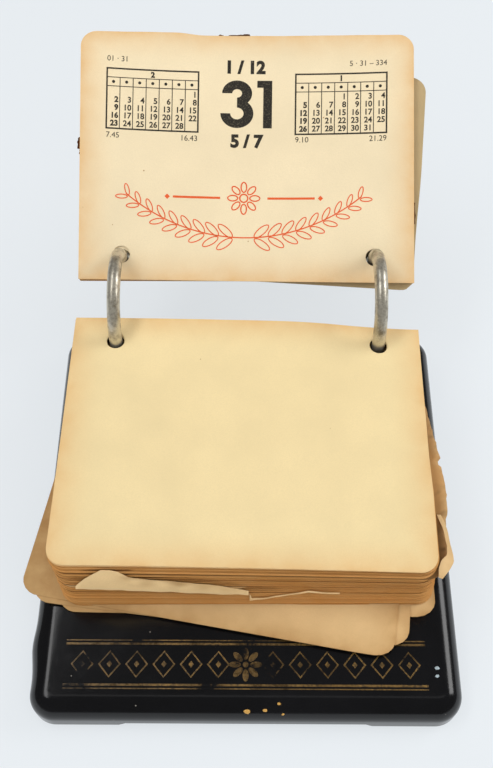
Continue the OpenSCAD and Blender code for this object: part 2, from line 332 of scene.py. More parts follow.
class Paint:
    """One finish: a Principled shader and the nodes that feed it."""

    def __init__(self, name, **values):
        self.material = bpy.data.materials.new(name)
        self.material.use_nodes = True
        self.nodes = self.material.node_tree.nodes
        self.links = self.material.node_tree.links
        self.shader = self.nodes["Principled BSDF"]
        for socket, value in values.items():
            self.shader.inputs[socket.replace("_", " ")].default_value = value
        self.place = self.node("ShaderNodeTexCoord").outputs["Object"]

    def node(self, kind, sockets=(), **settings):
        made = self.nodes.new(kind)
        for name, value in settings.items():
            setattr(made, name, value)
        for socket, value in dict(sockets).items():
            self.set(made.inputs[socket], value)
        return made

    def set(self, socket, value):
        if isinstance(value, bpy.types.NodeSocket):
            self.links.new(value, socket)
        else:
            socket.default_value = value

    def feed(self, socket, value):
        self.set(self.shader.inputs[socket], value)

    def turned(self, slope, stretch):
        """Object coordinates turned by a slope about X and stretched along each axis."""
        sockets = {"Vector": self.place, "Rotation": (-slope, 0, 0)}
        level = self.node("ShaderNodeMapping", sockets).outputs["Vector"]
        return self.node("ShaderNodeMapping", {"Vector": level, "Scale": stretch}).outputs["Vector"]

    def noise(self, scale, detail=3.0, vector=None, roughness=0.5):
        sockets = {"Vector": vector or self.place, "Scale": scale, "Detail": detail,
                   "Roughness": roughness}
        return self.node("ShaderNodeTexNoise", sockets).outputs["Fac"]

    def spread(self, value, low, high, to_low=0.0, to_high=1.0):
        """Maps a value from low to high onto a new range, and keeps it there."""
        sockets = {"Value": value, "From Min": low, "From Max": high,
                   "To Min": to_low, "To Max": to_high}
        return self.node("ShaderNodeMapRange", sockets).outputs["Result"]

    def math(self, operation, first, second):
        return self.node("ShaderNodeMath", {0: first, 1: second}, operation=operation).outputs["Value"]

    def mix(self, share, first, second):
        made = self.node("ShaderNodeMix", {0: share, 6: first, 7: second}, data_type="RGBA")
        return made.outputs[2]

    def attribute(self, name):
        return self.node("ShaderNodeAttribute", attribute_name=name).outputs["Fac"]

    def bump(self, height, depth, strength=1.0):
        sockets = {"Height": height, "Distance": depth, "Strength": strength}
        self.feed("Normal", self.node("ShaderNodeBump", sockets).outputs["Normal"])

    def specks(self, scale, size, share):
        """1 in small round specks, in a share of the cells of a cell pattern."""
        cells = self.node("ShaderNodeTexVoronoi", {"Vector": self.place, "Scale": scale})
        near = self.spread(cells.outputs["Distance"], size, size * 0.6)
        tint = self.node("ShaderNodeSeparateColor", {"Color": cells.outputs["Color"]}).outputs[0]
        return self.math("MULTIPLY", near, self.spread(tint, share, share - 0.02))


def shade(tint, factor):
    """A colour made darker or lighter."""
    return tuple(min(1.0, level * factor) for level in tint[:3]) + (1.0,)


def paper(name, face, rim, rim_share=1.0, mottle=0.06):
    """Yellowed uncoated paper, browned along its edges, with fibres, clouds and small specks; some sheets
    also carry painted shade in their masks.
    """
    paint = Paint(name, Roughness=0.9, Specular_IOR_Level=0.2)
    clouds = paint.spread(paint.noise(55, 5), 0.3, 0.7)
    fibres = paint.noise(2600, 2)
    sheet = paint.mix(clouds, shade(face, 1 - mottle), shade(face, 1 + mottle * 0.4))
    sheet = paint.mix(paint.spread(fibres, 0.35, 0.75, 0, 0.35), sheet, shade(face, 0.86))
    uneven = paint.spread(paint.noise(140, 4), 0.3, 0.7, 0.55, 1.0)
    # The rim mask holds the browning along the edges and, on the loose leaves and the flap of the
    # dog-eared leaf, painted shade as well.
    worn = paint.math("MULTIPLY", paint.attribute("rim"), uneven)
    sheet = paint.mix(paint.math("MULTIPLY", worn, rim_share), sheet, rim)
    sheet = paint.mix(paint.specks(210, 0.06, 0.07), sheet, shade(rim, 0.6))
    # Near black where a mask marks painted shade: creases and the shadow under the lifted strip on the
    # torn leaf, and the shaded holes of the card.
    sheet = paint.mix(paint.attribute("painted_shade"), sheet, shade(rim, 0.06))
    paint.feed("Base Color", sheet)
    paint.bump(paint.noise(1500, 3), 0.00006, 0.6)
    return paint.material


def block_edges(name, slope):
    """Cut edges of stacked leaves lying at a slope: fine stripes along them, toned layer by layer."""
    tints = finishes()
    paint = Paint(name, Roughness=0.95, Specular_IOR_Level=0.1)
    stripes = paint.noise(1.0, 3, paint.turned(slope, (10, 10, 2000)), 0.7)
    runs = paint.noise(1.0, 3, paint.turned(slope, (45, 45, 1100)), 0.6)
    tone = paint.math("ADD", paint.math("MULTIPLY", stripes, 0.9), paint.math("MULTIPLY", runs, 0.5))
    tone = paint.math("ADD", tone, paint.math("MULTIPLY", paint.attribute("tone"), 0.4))
    sheets = paint.mix(paint.spread(tone, 0.62, 1.15), tints.edge_dark, tints.edge_light)
    # The walls of the holes are painted in shade, near black.
    paint.feed("Base Color", paint.mix(paint.attribute("hole_shade"), sheets, shade(tints.edge_dark, 0.2)))
    paint.bump(stripes, 0.00012, 0.8)
    return paint.material


def black_lacquer():
    """Gloss black lacquer with smears, fine scratches, dust and greyed wear."""
    tints = finishes()
    paint = Paint("black_lacquer", Specular_IOR_Level=0.42)
    smears = paint.noise(45, 5, roughness=0.65)
    scratches = paint.noise(1.0, 4, paint.turned(0.0, (2600, 90, 2600)), 0.7)
    film = paint.mix(paint.spread(smears, 0.45, 0.8, 0, 0.5), tints.lacquer, shade(tints.lacquer, 2.2))
    film = paint.mix(paint.specks(330, 0.07, 0.12), film, (0.30, 0.28, 0.24, 1))
    paint.feed("Base Color", film)
    dull = paint.spread(smears, 0.3, 0.8, 0.12, 0.22)
    scratched = paint.spread(scratches, 0.62, 0.8, 0, 0.1)
    paint.feed("Roughness", paint.math("ADD", dull, scratched))
    paint.bump(paint.noise(260, 4), 0.00004, 0.35)
    return paint.material


def nickelled_wire():
    """Nickelled steel, dulled, with tarnish in patches and pits."""
    tints = finishes()
    paint = Paint("nickelled_wire", Metallic=0.75)
    patches = paint.spread(paint.noise(210, 6, roughness=0.7), 0.48, 0.66)
    pits = paint.spread(paint.noise(1100, 3), 0.6, 0.74, 0, 0.5)
    spots = paint.math("MAXIMUM", patches, pits)
    paint.feed("Base Color", paint.mix(paint.math("MULTIPLY", spots, 0.75), tints.nickel, tints.tarnish))
    paint.feed("Roughness", paint.spread(paint.noise(420, 4), 0.25, 0.8, 0.26, 0.5))
    paint.bump(paint.noise(700, 4), 0.00005, 0.5)
    return paint.material


def plain_steel():
    """Bare dull steel with brushing and brown bloom."""
    tints = finishes()
    paint = Paint("plain_steel", Metallic=1.0)
    bloom = paint.spread(paint.noise(120, 5, roughness=0.7), 0.5, 0.75)
    paint.feed("Base Color", paint.mix(bloom, tints.steel, shade(tints.tarnish, 0.8)))
    brushing = paint.noise(1.0, 3, paint.turned(TOP_SLOPE, (60, 2400, 2400)))
    paint.feed("Roughness", paint.spread(brushing, 0.3, 0.7, 0.35, 0.6))
    paint.bump(brushing, 0.00003, 0.4)
    return paint.material


def ink(name, tint, wear):
    """Printing ink that lets the paper through in fine spots, made once."""
    if name in bpy.data.materials:
        return bpy.data.materials[name]
    paint = Paint(name, Roughness=0.75, Specular_IOR_Level=0.25)
    thin = paint.spread(paint.noise(2200, 3, roughness=0.7), 0.52, 0.8, 0, wear)
    paint.feed("Base Color", paint.mix(thin, tint, finishes().date))
    return paint.material


def worn_gold():
    """Gold ornament rubbed through to the lacquer."""
    tints = finishes()
    paint = Paint("worn_gold", Specular_IOR_Level=0.5)
    rubbed = paint.spread(paint.noise(75, 6, roughness=0.7), 0.42, 0.62)
    fine = paint.spread(paint.noise(1300, 4, roughness=0.7), 0.42, 0.6)
    lost = paint.math("MAXIMUM", rubbed, paint.math("MULTIPLY", fine, 0.8))
    paint.feed("Base Color", paint.mix(lost, tints.gold, tints.lacquer))
    paint.feed("Roughness", paint.spread(rubbed, 0, 1, 0.42, 0.18))
    return paint.material


def oil_paint(name, tint):
    """Dried drops of oil paint."""
    paint = Paint(name, Roughness=0.45)
    paint.feed("Base Color", paint.mix(paint.noise(900, 3), shade(tint, 0.8), shade(tint, 1.15)))
    return paint.material


# Base

RIM_BEVEL = 0.15


def pressed_pan(sizes):
    """The base before its underside is trimmed: round corners and a rolled top edge, top at z 0."""
    width, depth, roll = mm(sizes.width), mm(sizes.depth), mm(sizes.roll)
    tall = mm(sizes.front_height) + depth * math.sin(TOP_SLOPE) + 2 * roll
    bm = bmesh.new()
    bmesh.ops.create_cube(bm, size=1)
    bmesh.ops.scale(bm, vec=(width, depth, tall), verts=bm.verts)
    bmesh.ops.translate(bm, vec=(0, depth / 2, -tall / 2), verts=bm.verts)
    upright = [e for e in bm.edges if abs(e.verts[0].co.z - e.verts[1].co.z) > tall / 2]
    bevel(bm, upright, mm(sizes.corner), 14)
    brim = [e for e in bm.edges if all(v.co.z > -MM for v in e.verts)]
    bevel(bm, brim, roll, 12)
    floor = [f for f in bm.faces if all(v.co.z < MM - tall for v in f.verts)]
    bmesh.ops.delete(bm, geom=floor, context="FACES_ONLY")
    return bm


def cut_top_holes(bm, sizes):
    """Opens the top for the sockets and rivets."""
    leg, row = mm(leaf_sizes().pitch) / 2, mm(sizes.depth - sizes.row_back)
    top = [f for f in bm.faces if all(v.co.z > -MM for v in f.verts)]
    rim = list({e for f in top for e in f.edges})
    bmesh.ops.delete(bm, geom=top, context="FACES_ONLY")
    for side in (-1, 1):
        rim += ring(bm, (side * leg, row, 0), mm(sizes.socket) / 2, 32)
    for side in (-1, 0, 1):
        rim += ring(bm, (side * (leg - mm(sizes.rivet_reach)), row, 0), mm(sizes.rivet) / 2, 20)
    bmesh.ops.triangle_fill(bm, edges=rim, use_beauty=True)


def cut_feet(bm, sizes):
    """Trims the skirt to the desk and cuts the gaps between the feet, with sloped ends."""
    foot_height = mm(sizes.foot_height)
    slice_along(bm, (0, 0, 1), (0, 0, 0), clear_inner=True)
    slice_along(bm, (0, 0, 1), (0, 0, foot_height))
    halves = {0: mm(sizes.width / 2 - sizes.foot), 1: mm(sizes.depth / 2 - sizes.foot)}
    for axis, half in halves.items():
        for side in (-1, 1):
            normal, point = [0, 0, 1], [0, 0, 0]
            normal[axis], point[axis] = side, side * half
            slice_along(bm, normal, point)
    gaps = []
    for face in bm.faces:
        centre = face.calc_center_median()
        along = 0 if abs(face.normal.y) > abs(face.normal.x) else 1
        if centre.z < foot_height and abs(centre[along]) + centre.z < halves[along]:
            gaps.append(face)
    bmesh.ops.delete(bm, geom=gaps, context="FACES")


# A soft bulge in the left skirt and a hollow beside it: y, reach and depth of each
DENTS = ((-42.5, 4.5, 0.7), (-52.5, 4.0, -0.25))
DENT_CUTS = range(-60, -28, 2)
# Share of the base's half width that gives way
DENT_SHARE = 0.06


def dent_left_side(bm, half_width):
    """Cuts the left skirt into short steps and pushes them out and in."""
    for y in DENT_CUTS:
        slice_along(bm, (0, 1, 0), (0, y, 0))
    for vert in bm.verts:
        out = max(0.0, (-vert.co.x / half_width - 1 + DENT_SHARE) / DENT_SHARE)
        push = sum(depth * math.exp(-((vert.co.y - y) / reach) ** 2) for y, reach, depth in DENTS)
        vert.co.x -= push * out


def base_top():
    """The middle of the top's front edge, y along the top."""
    sizes = base_sizes()
    front = Matrix.Translation((0, -mm(sizes.depth) / 2, mm(sizes.front_height)))
    return front @ Matrix.Rotation(TOP_SLOPE, 4, "X")


def base_shell():
    sizes = base_sizes()
    bm = pressed_pan(sizes)
    cut_top_holes(bm, sizes)
    bmesh.ops.transform(bm, matrix=base_top(), verts=bm.verts)
    cut_feet(bm, sizes)
    dent_left_side(bm, mm(sizes.width) / 2)
    bmesh.ops.remove_doubles(bm, verts=bm.verts, dist=1e-4)
    bmesh.ops.recalc_face_normals(bm, faces=bm.faces)
    bmesh.ops.solidify(bm, geom=bm.faces[:], thickness=mm(sizes.sheet))
    for vert in bm.verts:
        vert.co.z = max(0.0, vert.co.z)
    piece = place(bm, "base_lacquer", Matrix(), [black_lacquer()], "base", "black_lacquer",
                  ["base_shell"], sharp=40)
    rim = piece.modifiers.new("rim", "BEVEL")
    rim.width, rim.segments, rim.limit_method = RIM_BEVEL * MM, 2, "ANGLE"
    rim.angle_limit = math.radians(60)
    return piece


class CALENDAR_OT_base(Operator):
    """Presses the lacquered base"""
    bl_idname = "calendar.base"
    bl_label = "Base"

    def execute(self, context):
        base_shell()
        return {"FINISHED"}


class CALENDAR_OT_fittings(Operator):
    """Gives the strip, sockets and rivets under the top their bare steel"""
    bl_idname = "calendar.fittings"
    bl_label = "Fittings"

    def execute(self, context):
        steel = plain_steel()
        for name in ("bridge_strip", "socket_left", "socket_right", "bridge_rivets"):
            node = frame["nodes"][name]
            node.data.materials.clear()
            node.data.materials.append(steel)
        return {"FINISHED"}


# Bow

WIRE_SIDES = 28


class WireBender:
    """Draws a wire out of a ring of edges, run by run and bend by bend, heading along the tip's z."""

    def __init__(self, bm, start, radius):
        self.bm, self.tip = bm, start
        made = bmesh.ops.create_circle(bm, radius=radius, segments=WIRE_SIDES, matrix=start)
        self.edges = list({edge for vert in made["verts"] for edge in vert.link_edges})

    def run(self, distance):
        grown = bmesh.ops.extrude_edge_only(self.bm, edges=self.edges)["geom"]
        ends = {part for part in grown if isinstance(part, bmesh.types.BMVert)}
        step = self.tip.to_3x3() @ Vector((0, 0, distance))
        bmesh.ops.translate(self.bm, vec=step, verts=list(ends))
        self.edges = [e for e in self.bm.edges if e.verts[0] in ends and e.verts[1] in ends]
        self.tip = self.tip @ Matrix.Translation((0, 0, distance))

    def bend(self, radius, angle, toward, steps):
        """Bends towards a direction about the heading, 0 for the tip's y."""
        self.tip = self.tip @ Matrix.Rotation(toward, 4, "Z")
        centre, axis = self.tip @ Vector((0, radius, 0)), self.tip.to_3x3() @ Vector((-1, 0, 0))
        made = bmesh.ops.spin(self.bm, geom=self.edges, cent=centre, axis=axis, angle=angle, steps=steps)
        self.edges = [part for part in made["geom_last"] if isinstance(part, bmesh.types.BMEdge)]
        about = Matrix.Translation((0, radius, 0))
        self.tip = self.tip @ about @ Matrix.Rotation(-angle, 4, "X") @ about.inverted()


def wire_bow():
    """Left half of the bow from its leg to the middle of the cross bar, and its mirror image."""
    sizes, pile = bow_sizes(), Pile()
    radius, bend, corner = mm(sizes.wire) / 2, mm(sizes.bend), mm(sizes.rest_corner)
    leg, play = mm(leaf_sizes().pitch) / 2, mm(sizes.play)
    arch_end = math.asin((play - pile.card) / pile.arch)
    reach = pile.arch + bend
    bend_at = Vector((reach * math.cos(arch_end), -reach * math.sin(arch_end)))
    bar_at = Vector((pile.on_arch(pile.date) + mm(sizes.rest), pile.card - play - radius))
    to_bar = bar_at - bend_at
    arm_rise = math.atan2(to_bar.y, to_bar.x) + math.asin(bend / to_bar.length)
    arm = math.sqrt(to_bar.length ** 2 - bend ** 2) - corner
    bm = bmesh.new()
    wire = WireBender(bm, Matrix.Translation((-leg, 0, -mm(sizes.leg_foot))), radius)
    wire.run(pile.centre + mm(sizes.leg_foot))
    wire.bend(pile.arch, math.pi - pile.lean + arch_end, 0, 40)
    wire.bend(bend, math.pi / 2 + arch_end + arm_rise, math.pi, 24)
    wire.run(arm)
    wire.bend(corner, math.pi / 2, math.pi / 2, 20)
    wire.run(leg - corner)
    bmesh.ops.mirror(bm, geom=bm.verts[:] + bm.edges[:] + bm.faces[:], axis="X", merge_dist=0.01)
    bmesh.ops.remove_doubles(bm, verts=bm.verts, dist=0.005)
    bmesh.ops.holes_fill(bm, edges=bm.edges[:], sides=WIRE_SIDES)
    bmesh.ops.recalc_face_normals(bm, faces=bm.faces)
    return place(bm, "bow_wire", pile.row(), [nickelled_wire()], "bow", "nickelled_wire",
                 ["wire_bow"], sharp=60)


class CALENDAR_OT_bow(Operator):
    """Bends the wire bow"""
    bl_idname = "calendar.bow"
    bl_label = "Bow"

    def execute(self, context):
        wire_bow()
        return {"FINISHED"}


# Leaves: on each, x runs from its middle and y from its hole row

RIM_REACH = 12.0
CELL = 1.0
COARSE_CELL = 2.0
FINE_ON_TOP = (CELL, COARSE_CELL, COARSE_CELL)
SHEET = 0.1
ASKEW_HOLES = 0.35


class Cut:
    """Outline of a leaf: width, length, from the hole row to the near edge, and the corner radius."""

    def __init__(self, height=None, inset=None):
        sizes = leaf_sizes()
        self.half = mm(sizes.width) / 2
        self.height = height or mm(sizes.height)
        self.inset = inset or mm(sizes.inset)
        self.corner = mm(sizes.corner)
        self.leg, self.hole = mm(sizes.pitch) / 2, mm(sizes.hole) / 2
        self.front = self.inset - self.height

    def margin(self, x, y):
        """How far a point lies inside the outline."""
        across, along = self.half - self.corner - abs(x), y - self.front - self.corner
        if across < 0 and along < 0:
            return self.corner - math.hypot(across, along)
        return min(self.half - abs(x), y - self.front, self.inset - y)


def punch(bm, x, y, radius, cell):
    """Takes a square of cells out of a grid and draws the cells around it to a circle."""
    inner = math.ceil(radius / cell) * cell
    outer = inner + 2 * cell
    hole = Vector((x, y))
    middle = min((vert.co.xy for vert in bm.verts), key=lambda spot: (spot - hole).length)
    gone = [f for f in bm.faces if max(map(abs, f.calc_center_median().xy - middle)) < inner]
    bmesh.ops.delete(bm, geom=gone, context="FACES")
    for vert in bm.verts:
        away = vert.co.xy - middle
        ring_at = max(abs(away.x), abs(away.y))
        if ring_at < outer - cell / 2:
            share = (ring_at - inner) / (outer - inner)
            on_ring = hole + away.normalized() * (radius + share * (outer - radius))
            vert.co.xy = on_ring.lerp(vert.co.xy, share)


def round_corners(bm, cut):
    """Draws the two corners of the free edge in to their radius."""
    for vert in bm.verts:
        u = (abs(vert.co.x) - cut.half + cut.corner) / cut.corner
        v = (cut.front + cut.corner - vert.co.y) / cut.corner
        if u > 0 and v > 0:
            across = cut.half - cut.corner + cut.corner * u * math.sqrt(1 - v * v / 2)
            vert.co.x = math.copysign(across, vert.co.x)
            vert.co.y = cut.front + cut.corner - cut.corner * v * math.sqrt(1 - u * u / 2)


def blank_leaf(cut, columns, rows):
    """A flat leaf in cells about the middle of its hole row, free edge at -y."""
    bm = bmesh.new()
    bmesh.ops.create_grid(bm, x_segments=columns, y_segments=rows, size=0.5)
    bmesh.ops.scale(bm, vec=(2 * cut.half, cut.height, 1), verts=bm.verts)
    bmesh.ops.translate(bm, vec=(0, cut.inset - cut.height / 2, 0), verts=bm.verts)
    return bm


def flat_sheet(cut, cell=CELL, askew=0.0):
    """A leaf of square cells with two holes, the right one higher by twice askew, and its rim marked."""
    bm = blank_leaf(cut, round(2 * cut.half / cell), round(cut.height / cell))
    for side in (-1, 1):
        punch(bm, side * cut.leg, side * askew, cut.hole, cell)
    round_corners(bm, cut)
    mark = bm.verts.layers.float.new("rim")
    for vert in bm.verts:
        share = max(0.0, 1 - cut.margin(vert.co.x, vert.co.y) / RIM_REACH)
        vert[mark] = share * share
    return bm


def warp(bm, height):
    """Lifts each point of a sheet by a height that depends on where it is."""
    for vert in bm.verts:
        vert.co.z += height(vert.co)


def thicken(bm, thickness=SHEET):
    """Gives a sheet its thickness, downwards."""
    bmesh.ops.recalc_face_normals(bm, faces=bm.faces)
    if sum(face.normal.z for face in bm.faces) < 0:
        bmesh.ops.reverse_faces(bm, faces=bm.faces)
    bmesh.ops.solidify(bm, geom=bm.faces[:], thickness=thickness)


def join(bm, other):
    """Adds another bmesh to this one and frees it."""
    mesh = bpy.data.meshes.new("joined")
    other.to_mesh(mesh)
    other.free()
    bm.from_mesh(mesh)
    bpy.data.meshes.remove(mesh)


# The block

LAYERS = 8
LAYER_FILL = 0.94
OUTLINE_STEP = 4.0
WORN_HOLE = 1.25
HOLE_RIM = 1.1

# The cover takes the place of the uppermost layers of a pack
COVERED_LAYERS = 2
COVER = 0.55
COVER_RISE = 0.05

# How far layers stray, in millimetres and degrees, and how often one stands proud
STRAY_X = 0.09
STRAY_Y = 0.12
STRAY_TURN = 0.05
PROUD_SHARE = 0.1
PROUD_BY = 0.35
PROUD_TONE = 1.4


def mark_edges(bm):
    """Gives the faces along the edges of the leaves the second material."""
    for face in bm.faces:
        face.material_index = 0 if abs(face.normal.z) > 0.5 else 1


def layer_outline(cut, thickness):
    """One layer of leaves as a solid: its outline in short steps, two holes, filled and raised."""
    bm = blank_leaf(cut, 1, 1)
    bevel(bm, [v for v in bm.verts if v.co.y < 0], cut.corner, 6, "VERTICES")
    bmesh.ops.delete(bm, geom=bm.faces[:], context="FACES_ONLY")
    for edge in [e for e in bm.edges if e.calc_length() > OUTLINE_STEP]:
        bmesh.ops.subdivide_edges(bm, edges=[edge], cuts=int(edge.calc_length() / OUTLINE_STEP))
    for side in (-1, 1):
        ring(bm, (side * cut.leg, 0, 0), cut.hole * WORN_HOLE, 24)
    bmesh.ops.triangle_fill(bm, edges=bm.edges[:], use_beauty=True)
    grown = bmesh.ops.extrude_face_region(bm, geom=bm.faces[:])["geom"]
    top = [part for part in grown if isinstance(part, bmesh.types.BMVert)]
    bmesh.ops.translate(bm, vec=(0, 0, thickness), verts=top)
    bmesh.ops.recalc_face_normals(bm, faces=bm.faces)
    mark_edges(bm)
    mesh = bpy.data.meshes.new("layer")
    bm.to_mesh(mesh)
    bm.free()
    return mesh


def off_the_holes(verts, cut):
    """Vertices of a leaf that aren't on the rim of a hole."""
    rim = cut.hole * WORN_HOLE * HOLE_RIM
    return [v for v in verts if math.hypot(abs(v.co.x) - cut.leg, v.co.y) > rim]


def layered_pack(layer, thickness, seed, settle, covered=False):
    """A month of leaves in layers, each a little out of line around its holes.

    settle(level) gives a layer's shift and turn. A covered pack leaves its uppermost layers to the cover.
    """
    draw, cut = random.Random(seed), Cut()
    bm = bmesh.new()
    tone, rim, hole_shade = (bm.verts.layers.float.new(name) for name in ("tone", "rim", "hole_shade"))
    step = thickness / LAYERS
    for k in range(LAYERS - COVERED_LAYERS if covered else LAYERS):
        count = len(bm.verts)
        bm.from_mesh(layer)
        verts = new_verts(bm, count)
        shift, turn = settle(k * step)
        shift += Vector((draw.gauss(0, STRAY_X), draw.gauss(0, STRAY_Y), 0))
        turn += math.radians(draw.gauss(0, STRAY_TURN))
        layer_tone = draw.random()
        if draw.random() < PROUD_SHARE:
            shift.y -= PROUD_BY
            layer_tone = PROUD_TONE
        for vert in verts:
            # The rims of the holes are marked for painted shade; the body of the layer is not.
            vert[tone], vert[rim], vert[hole_shade] = layer_tone, 1.0, 1.0
        body = off_the_holes(verts, cut)
        for vert in body:
            vert[hole_shade] = 0.0
        bmesh.ops.transform(bm, matrix=laid(shift, turn), verts=body)
        bmesh.ops.translate(bm, vec=(0, 0, k * step), verts=verts)
    return bm


def bend_cover(bm, cut, shape):
    """Bends a flat sheet into the closed uppermost layers of a pack."""
    tone, hole_shade = (bm.verts.layers.float.new(name) for name in ("tone", "hole_shade"))
    for vert in bm.verts:
        vert[tone] = 0.5
        # The rims of the cover's holes are marked for painted shade.
        vert[hole_shade] = smooth(1.3, 1.1, math.hypot(abs(vert.co.x) - cut.leg, vert.co.y) / cut.hole)
    warp(bm, shape)
    thicken(bm, COVER)
    bm.normal_update()
    mark_edges(bm)


# How far leaves hang at their sides and at the right rear corner, how far their rear and right edges
# are worn away, and how far the block lies forward of its place
SAG = 0.8
DROOP = 1.6
REAR_WEAR = 1.2
BLOCK_WEAR = 0.9
NOTES_WEAR = 0.4
FORWARD = 0.4


def sag(level, spot):
    """Rise of the leaves of the block, below 0 where they hang, more so towards the top."""
    share = min(1.0, max(0.0, level / Pile().top)) ** 2
    rear = smooth(-40, 8, spot.y)
    sides = SAG * (spot.x / Cut().half) ** 2 * (1 - 0.7 * rear)
    return -share * (sides + DROOP * smooth(8, 53, spot.x) * rear)


def edge_wear(level, spot, right):
    """How far the right and rear edges of the uppermost leaves are worn away."""
    top = Pile().top
    upper = smooth(top - 6, top - 1, level)
    across = right * smooth(42, 52, spot.x) * smooth(-50, -34, spot.y)
    along = REAR_WEAR * smooth(5, 53, spot.x) * smooth(2, 8, spot.y)
    return Vector((across, along)) * upper


def block_settling(level):
    """Shift and turn of the block's leaves: lower ones lie forward, upper ones are turned clockwise."""
    share = level / Pile().top
    back = -FORWARD - mm(leaf_sizes().lean) * (1 - share)
    return Vector((0.25 * math.sin(level * 1.7), back, 0)), math.radians(0.6 - 1.5 * share)


# The dog-eared leaf's flap and frayed lip: x from left to right, and how far the lower and upper
# edges stand above the sheet there
FLAP = ((-46.5, 0.0, 0.8), (-43.6, 0.0, 5.4), (-40.0, -0.2, 9.2), (-38.4, -0.3, 11.0),
        (-36.0, -0.5, 10.6), (-33.8, -0.7, 9.6), (-31.4, -0.9, 6.8), (-26.0, -1.3, 5.0),
        (-20.7, -1.6, 4.6), (-12.6, -2.2, 2.8), (-5.8, -2.7, 1.2), (1.2, -3.2, -1.6))
LIP = ((1.5, -8.2, -3.0), (1.9, -8.2, -6.6), (5.3, -6.8, -5.9), (12.3, -4.0, -3.3),
       (17.7, -2.2, -1.2), (26.5, -2.9, -2.2))
FLAP_SHADOW = 2.0


def flap_shadow(pile, level, spot):
    """How dark the edge of the block is in the gap over the flap, from 0 to 1."""
    flap = pile.month_level(DOG_EAR_OVER) - pile.leaf + between(FLAP, max(FLAP[0][0], spot.x))[1]
    along = smooth(-50, -44, spot.x) * smooth(12, 0, spot.x) * smooth(-64, -70, spot.y)
    return along * smooth(-1.5, 0, level - flap) * smooth(2.4, 0.6, level - flap)


class CALENDAR_OT_block(Operator):
    """Stacks the months that are still to come"""
    bl_idname = "calendar.block"
    bl_label = "Block of months"

    def execute(self, context):
        pile, cut, tints = Pile(), Cut(), finishes()
        sheet_paint = paper("block_paper", tints.browned, tints.edge_light)
        edge_paint = block_edges("block_edges", TOP_SLOPE)
        layer = layer_outline(cut, pile.month / LAYERS * LAYER_FILL)
        for k, month in enumerate(reversed(MONTHS)):
            level = pile.month_level(k)
            covered = month == MONTHS[0]
            bm = layered_pack(layer, pile.month, k, lambda rise: block_settling(level + rise), covered)
            tone = bm.verts.layers.float["tone"]
            for vert in bm.verts:
                vert[tone] -= FLAP_SHADOW * flap_shadow(pile, level + vert.co.z, vert.co)
                vert.co.xy -= edge_wear(level + vert.co.z, vert.co, BLOCK_WEAR)
            warp(bm, lambda spot: sag(level + spot.z, spot))
            place(bm, f"{month}_pack", pile.lying(level), [sheet_paint, edge_paint], "base",
                  "block_paper", [f"{month}_leaves"])
        level = pile.month_level(len(MONTHS))
        cover = flat_sheet(cut, CELL, ASKEW_HOLES)
        for vert in cover.verts:
            vert.co.xy -= edge_wear(level, vert.co, BLOCK_WEAR)
        bend_cover(cover, cut, lambda spot: COVER_RISE + sag(level, spot))
        cover_paint = paper("cover_paper", tints.notes, tints.browned)
        settled = pile.lying(level) @ laid(*block_settling(level))
        place(cover, "february_cover", settled, [cover_paint, edge_paint], "base", "block_paper")
        return {"FINISHED"}


# Loose and damaged leaves

def tear_hole(bm, cut, side, reach):
    """Tears a hole longer towards the near edge of a leaf."""
    way = [f for f in bm.faces if abs(f.calc_center_median().x - side * cut.leg) < cut.hole
           and 0 < f.calc_center_median().y < reach]
    bmesh.ops.delete(bm, geom=way, context="FACES")


def about_leg(side, turn):
    """A turn about the middle of one leg."""
    leg = Matrix.Translation((side * mm(leaf_sizes().pitch) / 2, 0, 0))
    return leg @ Matrix.Rotation(turn, 4, "Z") @ leg.inverted()


def clinging_sheets(make, shape, thickness, cells=FINE_ON_TOP):
    """A leaf with the few that cling to it: one sheet under another for each cell size, bent alike."""
    bm = None
    for k, cell in enumerate(cells):
        sheet = make(cell)
        top = thickness - k * (thickness - SHEET) / (len(cells) - 1)
        bmesh.ops.translate(sheet, vec=(0, 0, top), verts=sheet.verts)
        warp(sheet, shape)
        thicken(sheet)
        if bm is None:
            bm = sheet
        else:
            join(bm, sheet)
    return bm


# Turn about the left leg in degrees, slip towards the front, curl and seed of each
LOOSE_LEAVES = {"loose_leaf_low": (0.6, 4.8, 0.4, 8), "loose_leaf_mid": (7.0, 3.8, 0.5, 3),
                "loose_leaf_high": (10.0, 2.6, 0.9, 5)}


class CALENDAR_OT_loose_leaves(Operator):
    """Lays the three loose leaves that swing out under the block"""
    bl_idname = "calendar.loose_leaves"
    bl_label = "Loose leaves"

    def execute(self, context):
        pile, cut, tints = Pile(), Cut(), finishes()
        loose_paper = paper("loose_paper", tints.loose, shade(tints.edge_light, 0.62), 0.8, 0.12)

        for k, (name, (turn, slip, curl, seed)) in enumerate(LOOSE_LEAVES.items()):
            wave = soft_wave(seed, 26)

            def make(cell):
                sheet = flat_sheet(cut, cell)
                tear_hole(sheet, cut, -1, cut.hole + slip)
                tear_hole(sheet, cut, 1, cut.height)
                mark = sheet.verts.layers.float["rim"]
                for vert in sheet.verts:
                    # Painted shade of the block over the left part of the leaf, laid into the rim mask so
                    # that it darkens like the browned edges.
                    vert[mark] = max(vert[mark], smooth(-15, -48, vert.co.x))
                    vert.co.x += 2.0 * smooth(44, 53, vert.co.x)
                return sheet

            def shape(spot):
                front = max(0.0, -spot.y / cut.height - 0.55)
                out = front + max(0.0, abs(spot.x) / cut.half - 0.8)
                return curl * (1 + 0.5 * wave(spot.x, spot.y)) * out * out * 5

            bm = clinging_sheets(make, shape, pile.leaf, (COARSE_CELL, COARSE_CELL))
            pulled = Matrix.Translation((0, -slip, 0)) @ about_leg(-1, -math.radians(turn))
            place(bm, name + "_sheets", pile.lying(k * pile.leaf) @ pulled, [loose_paper], "base",
                  "loose_paper", [name])
        return {"FINISHED"}


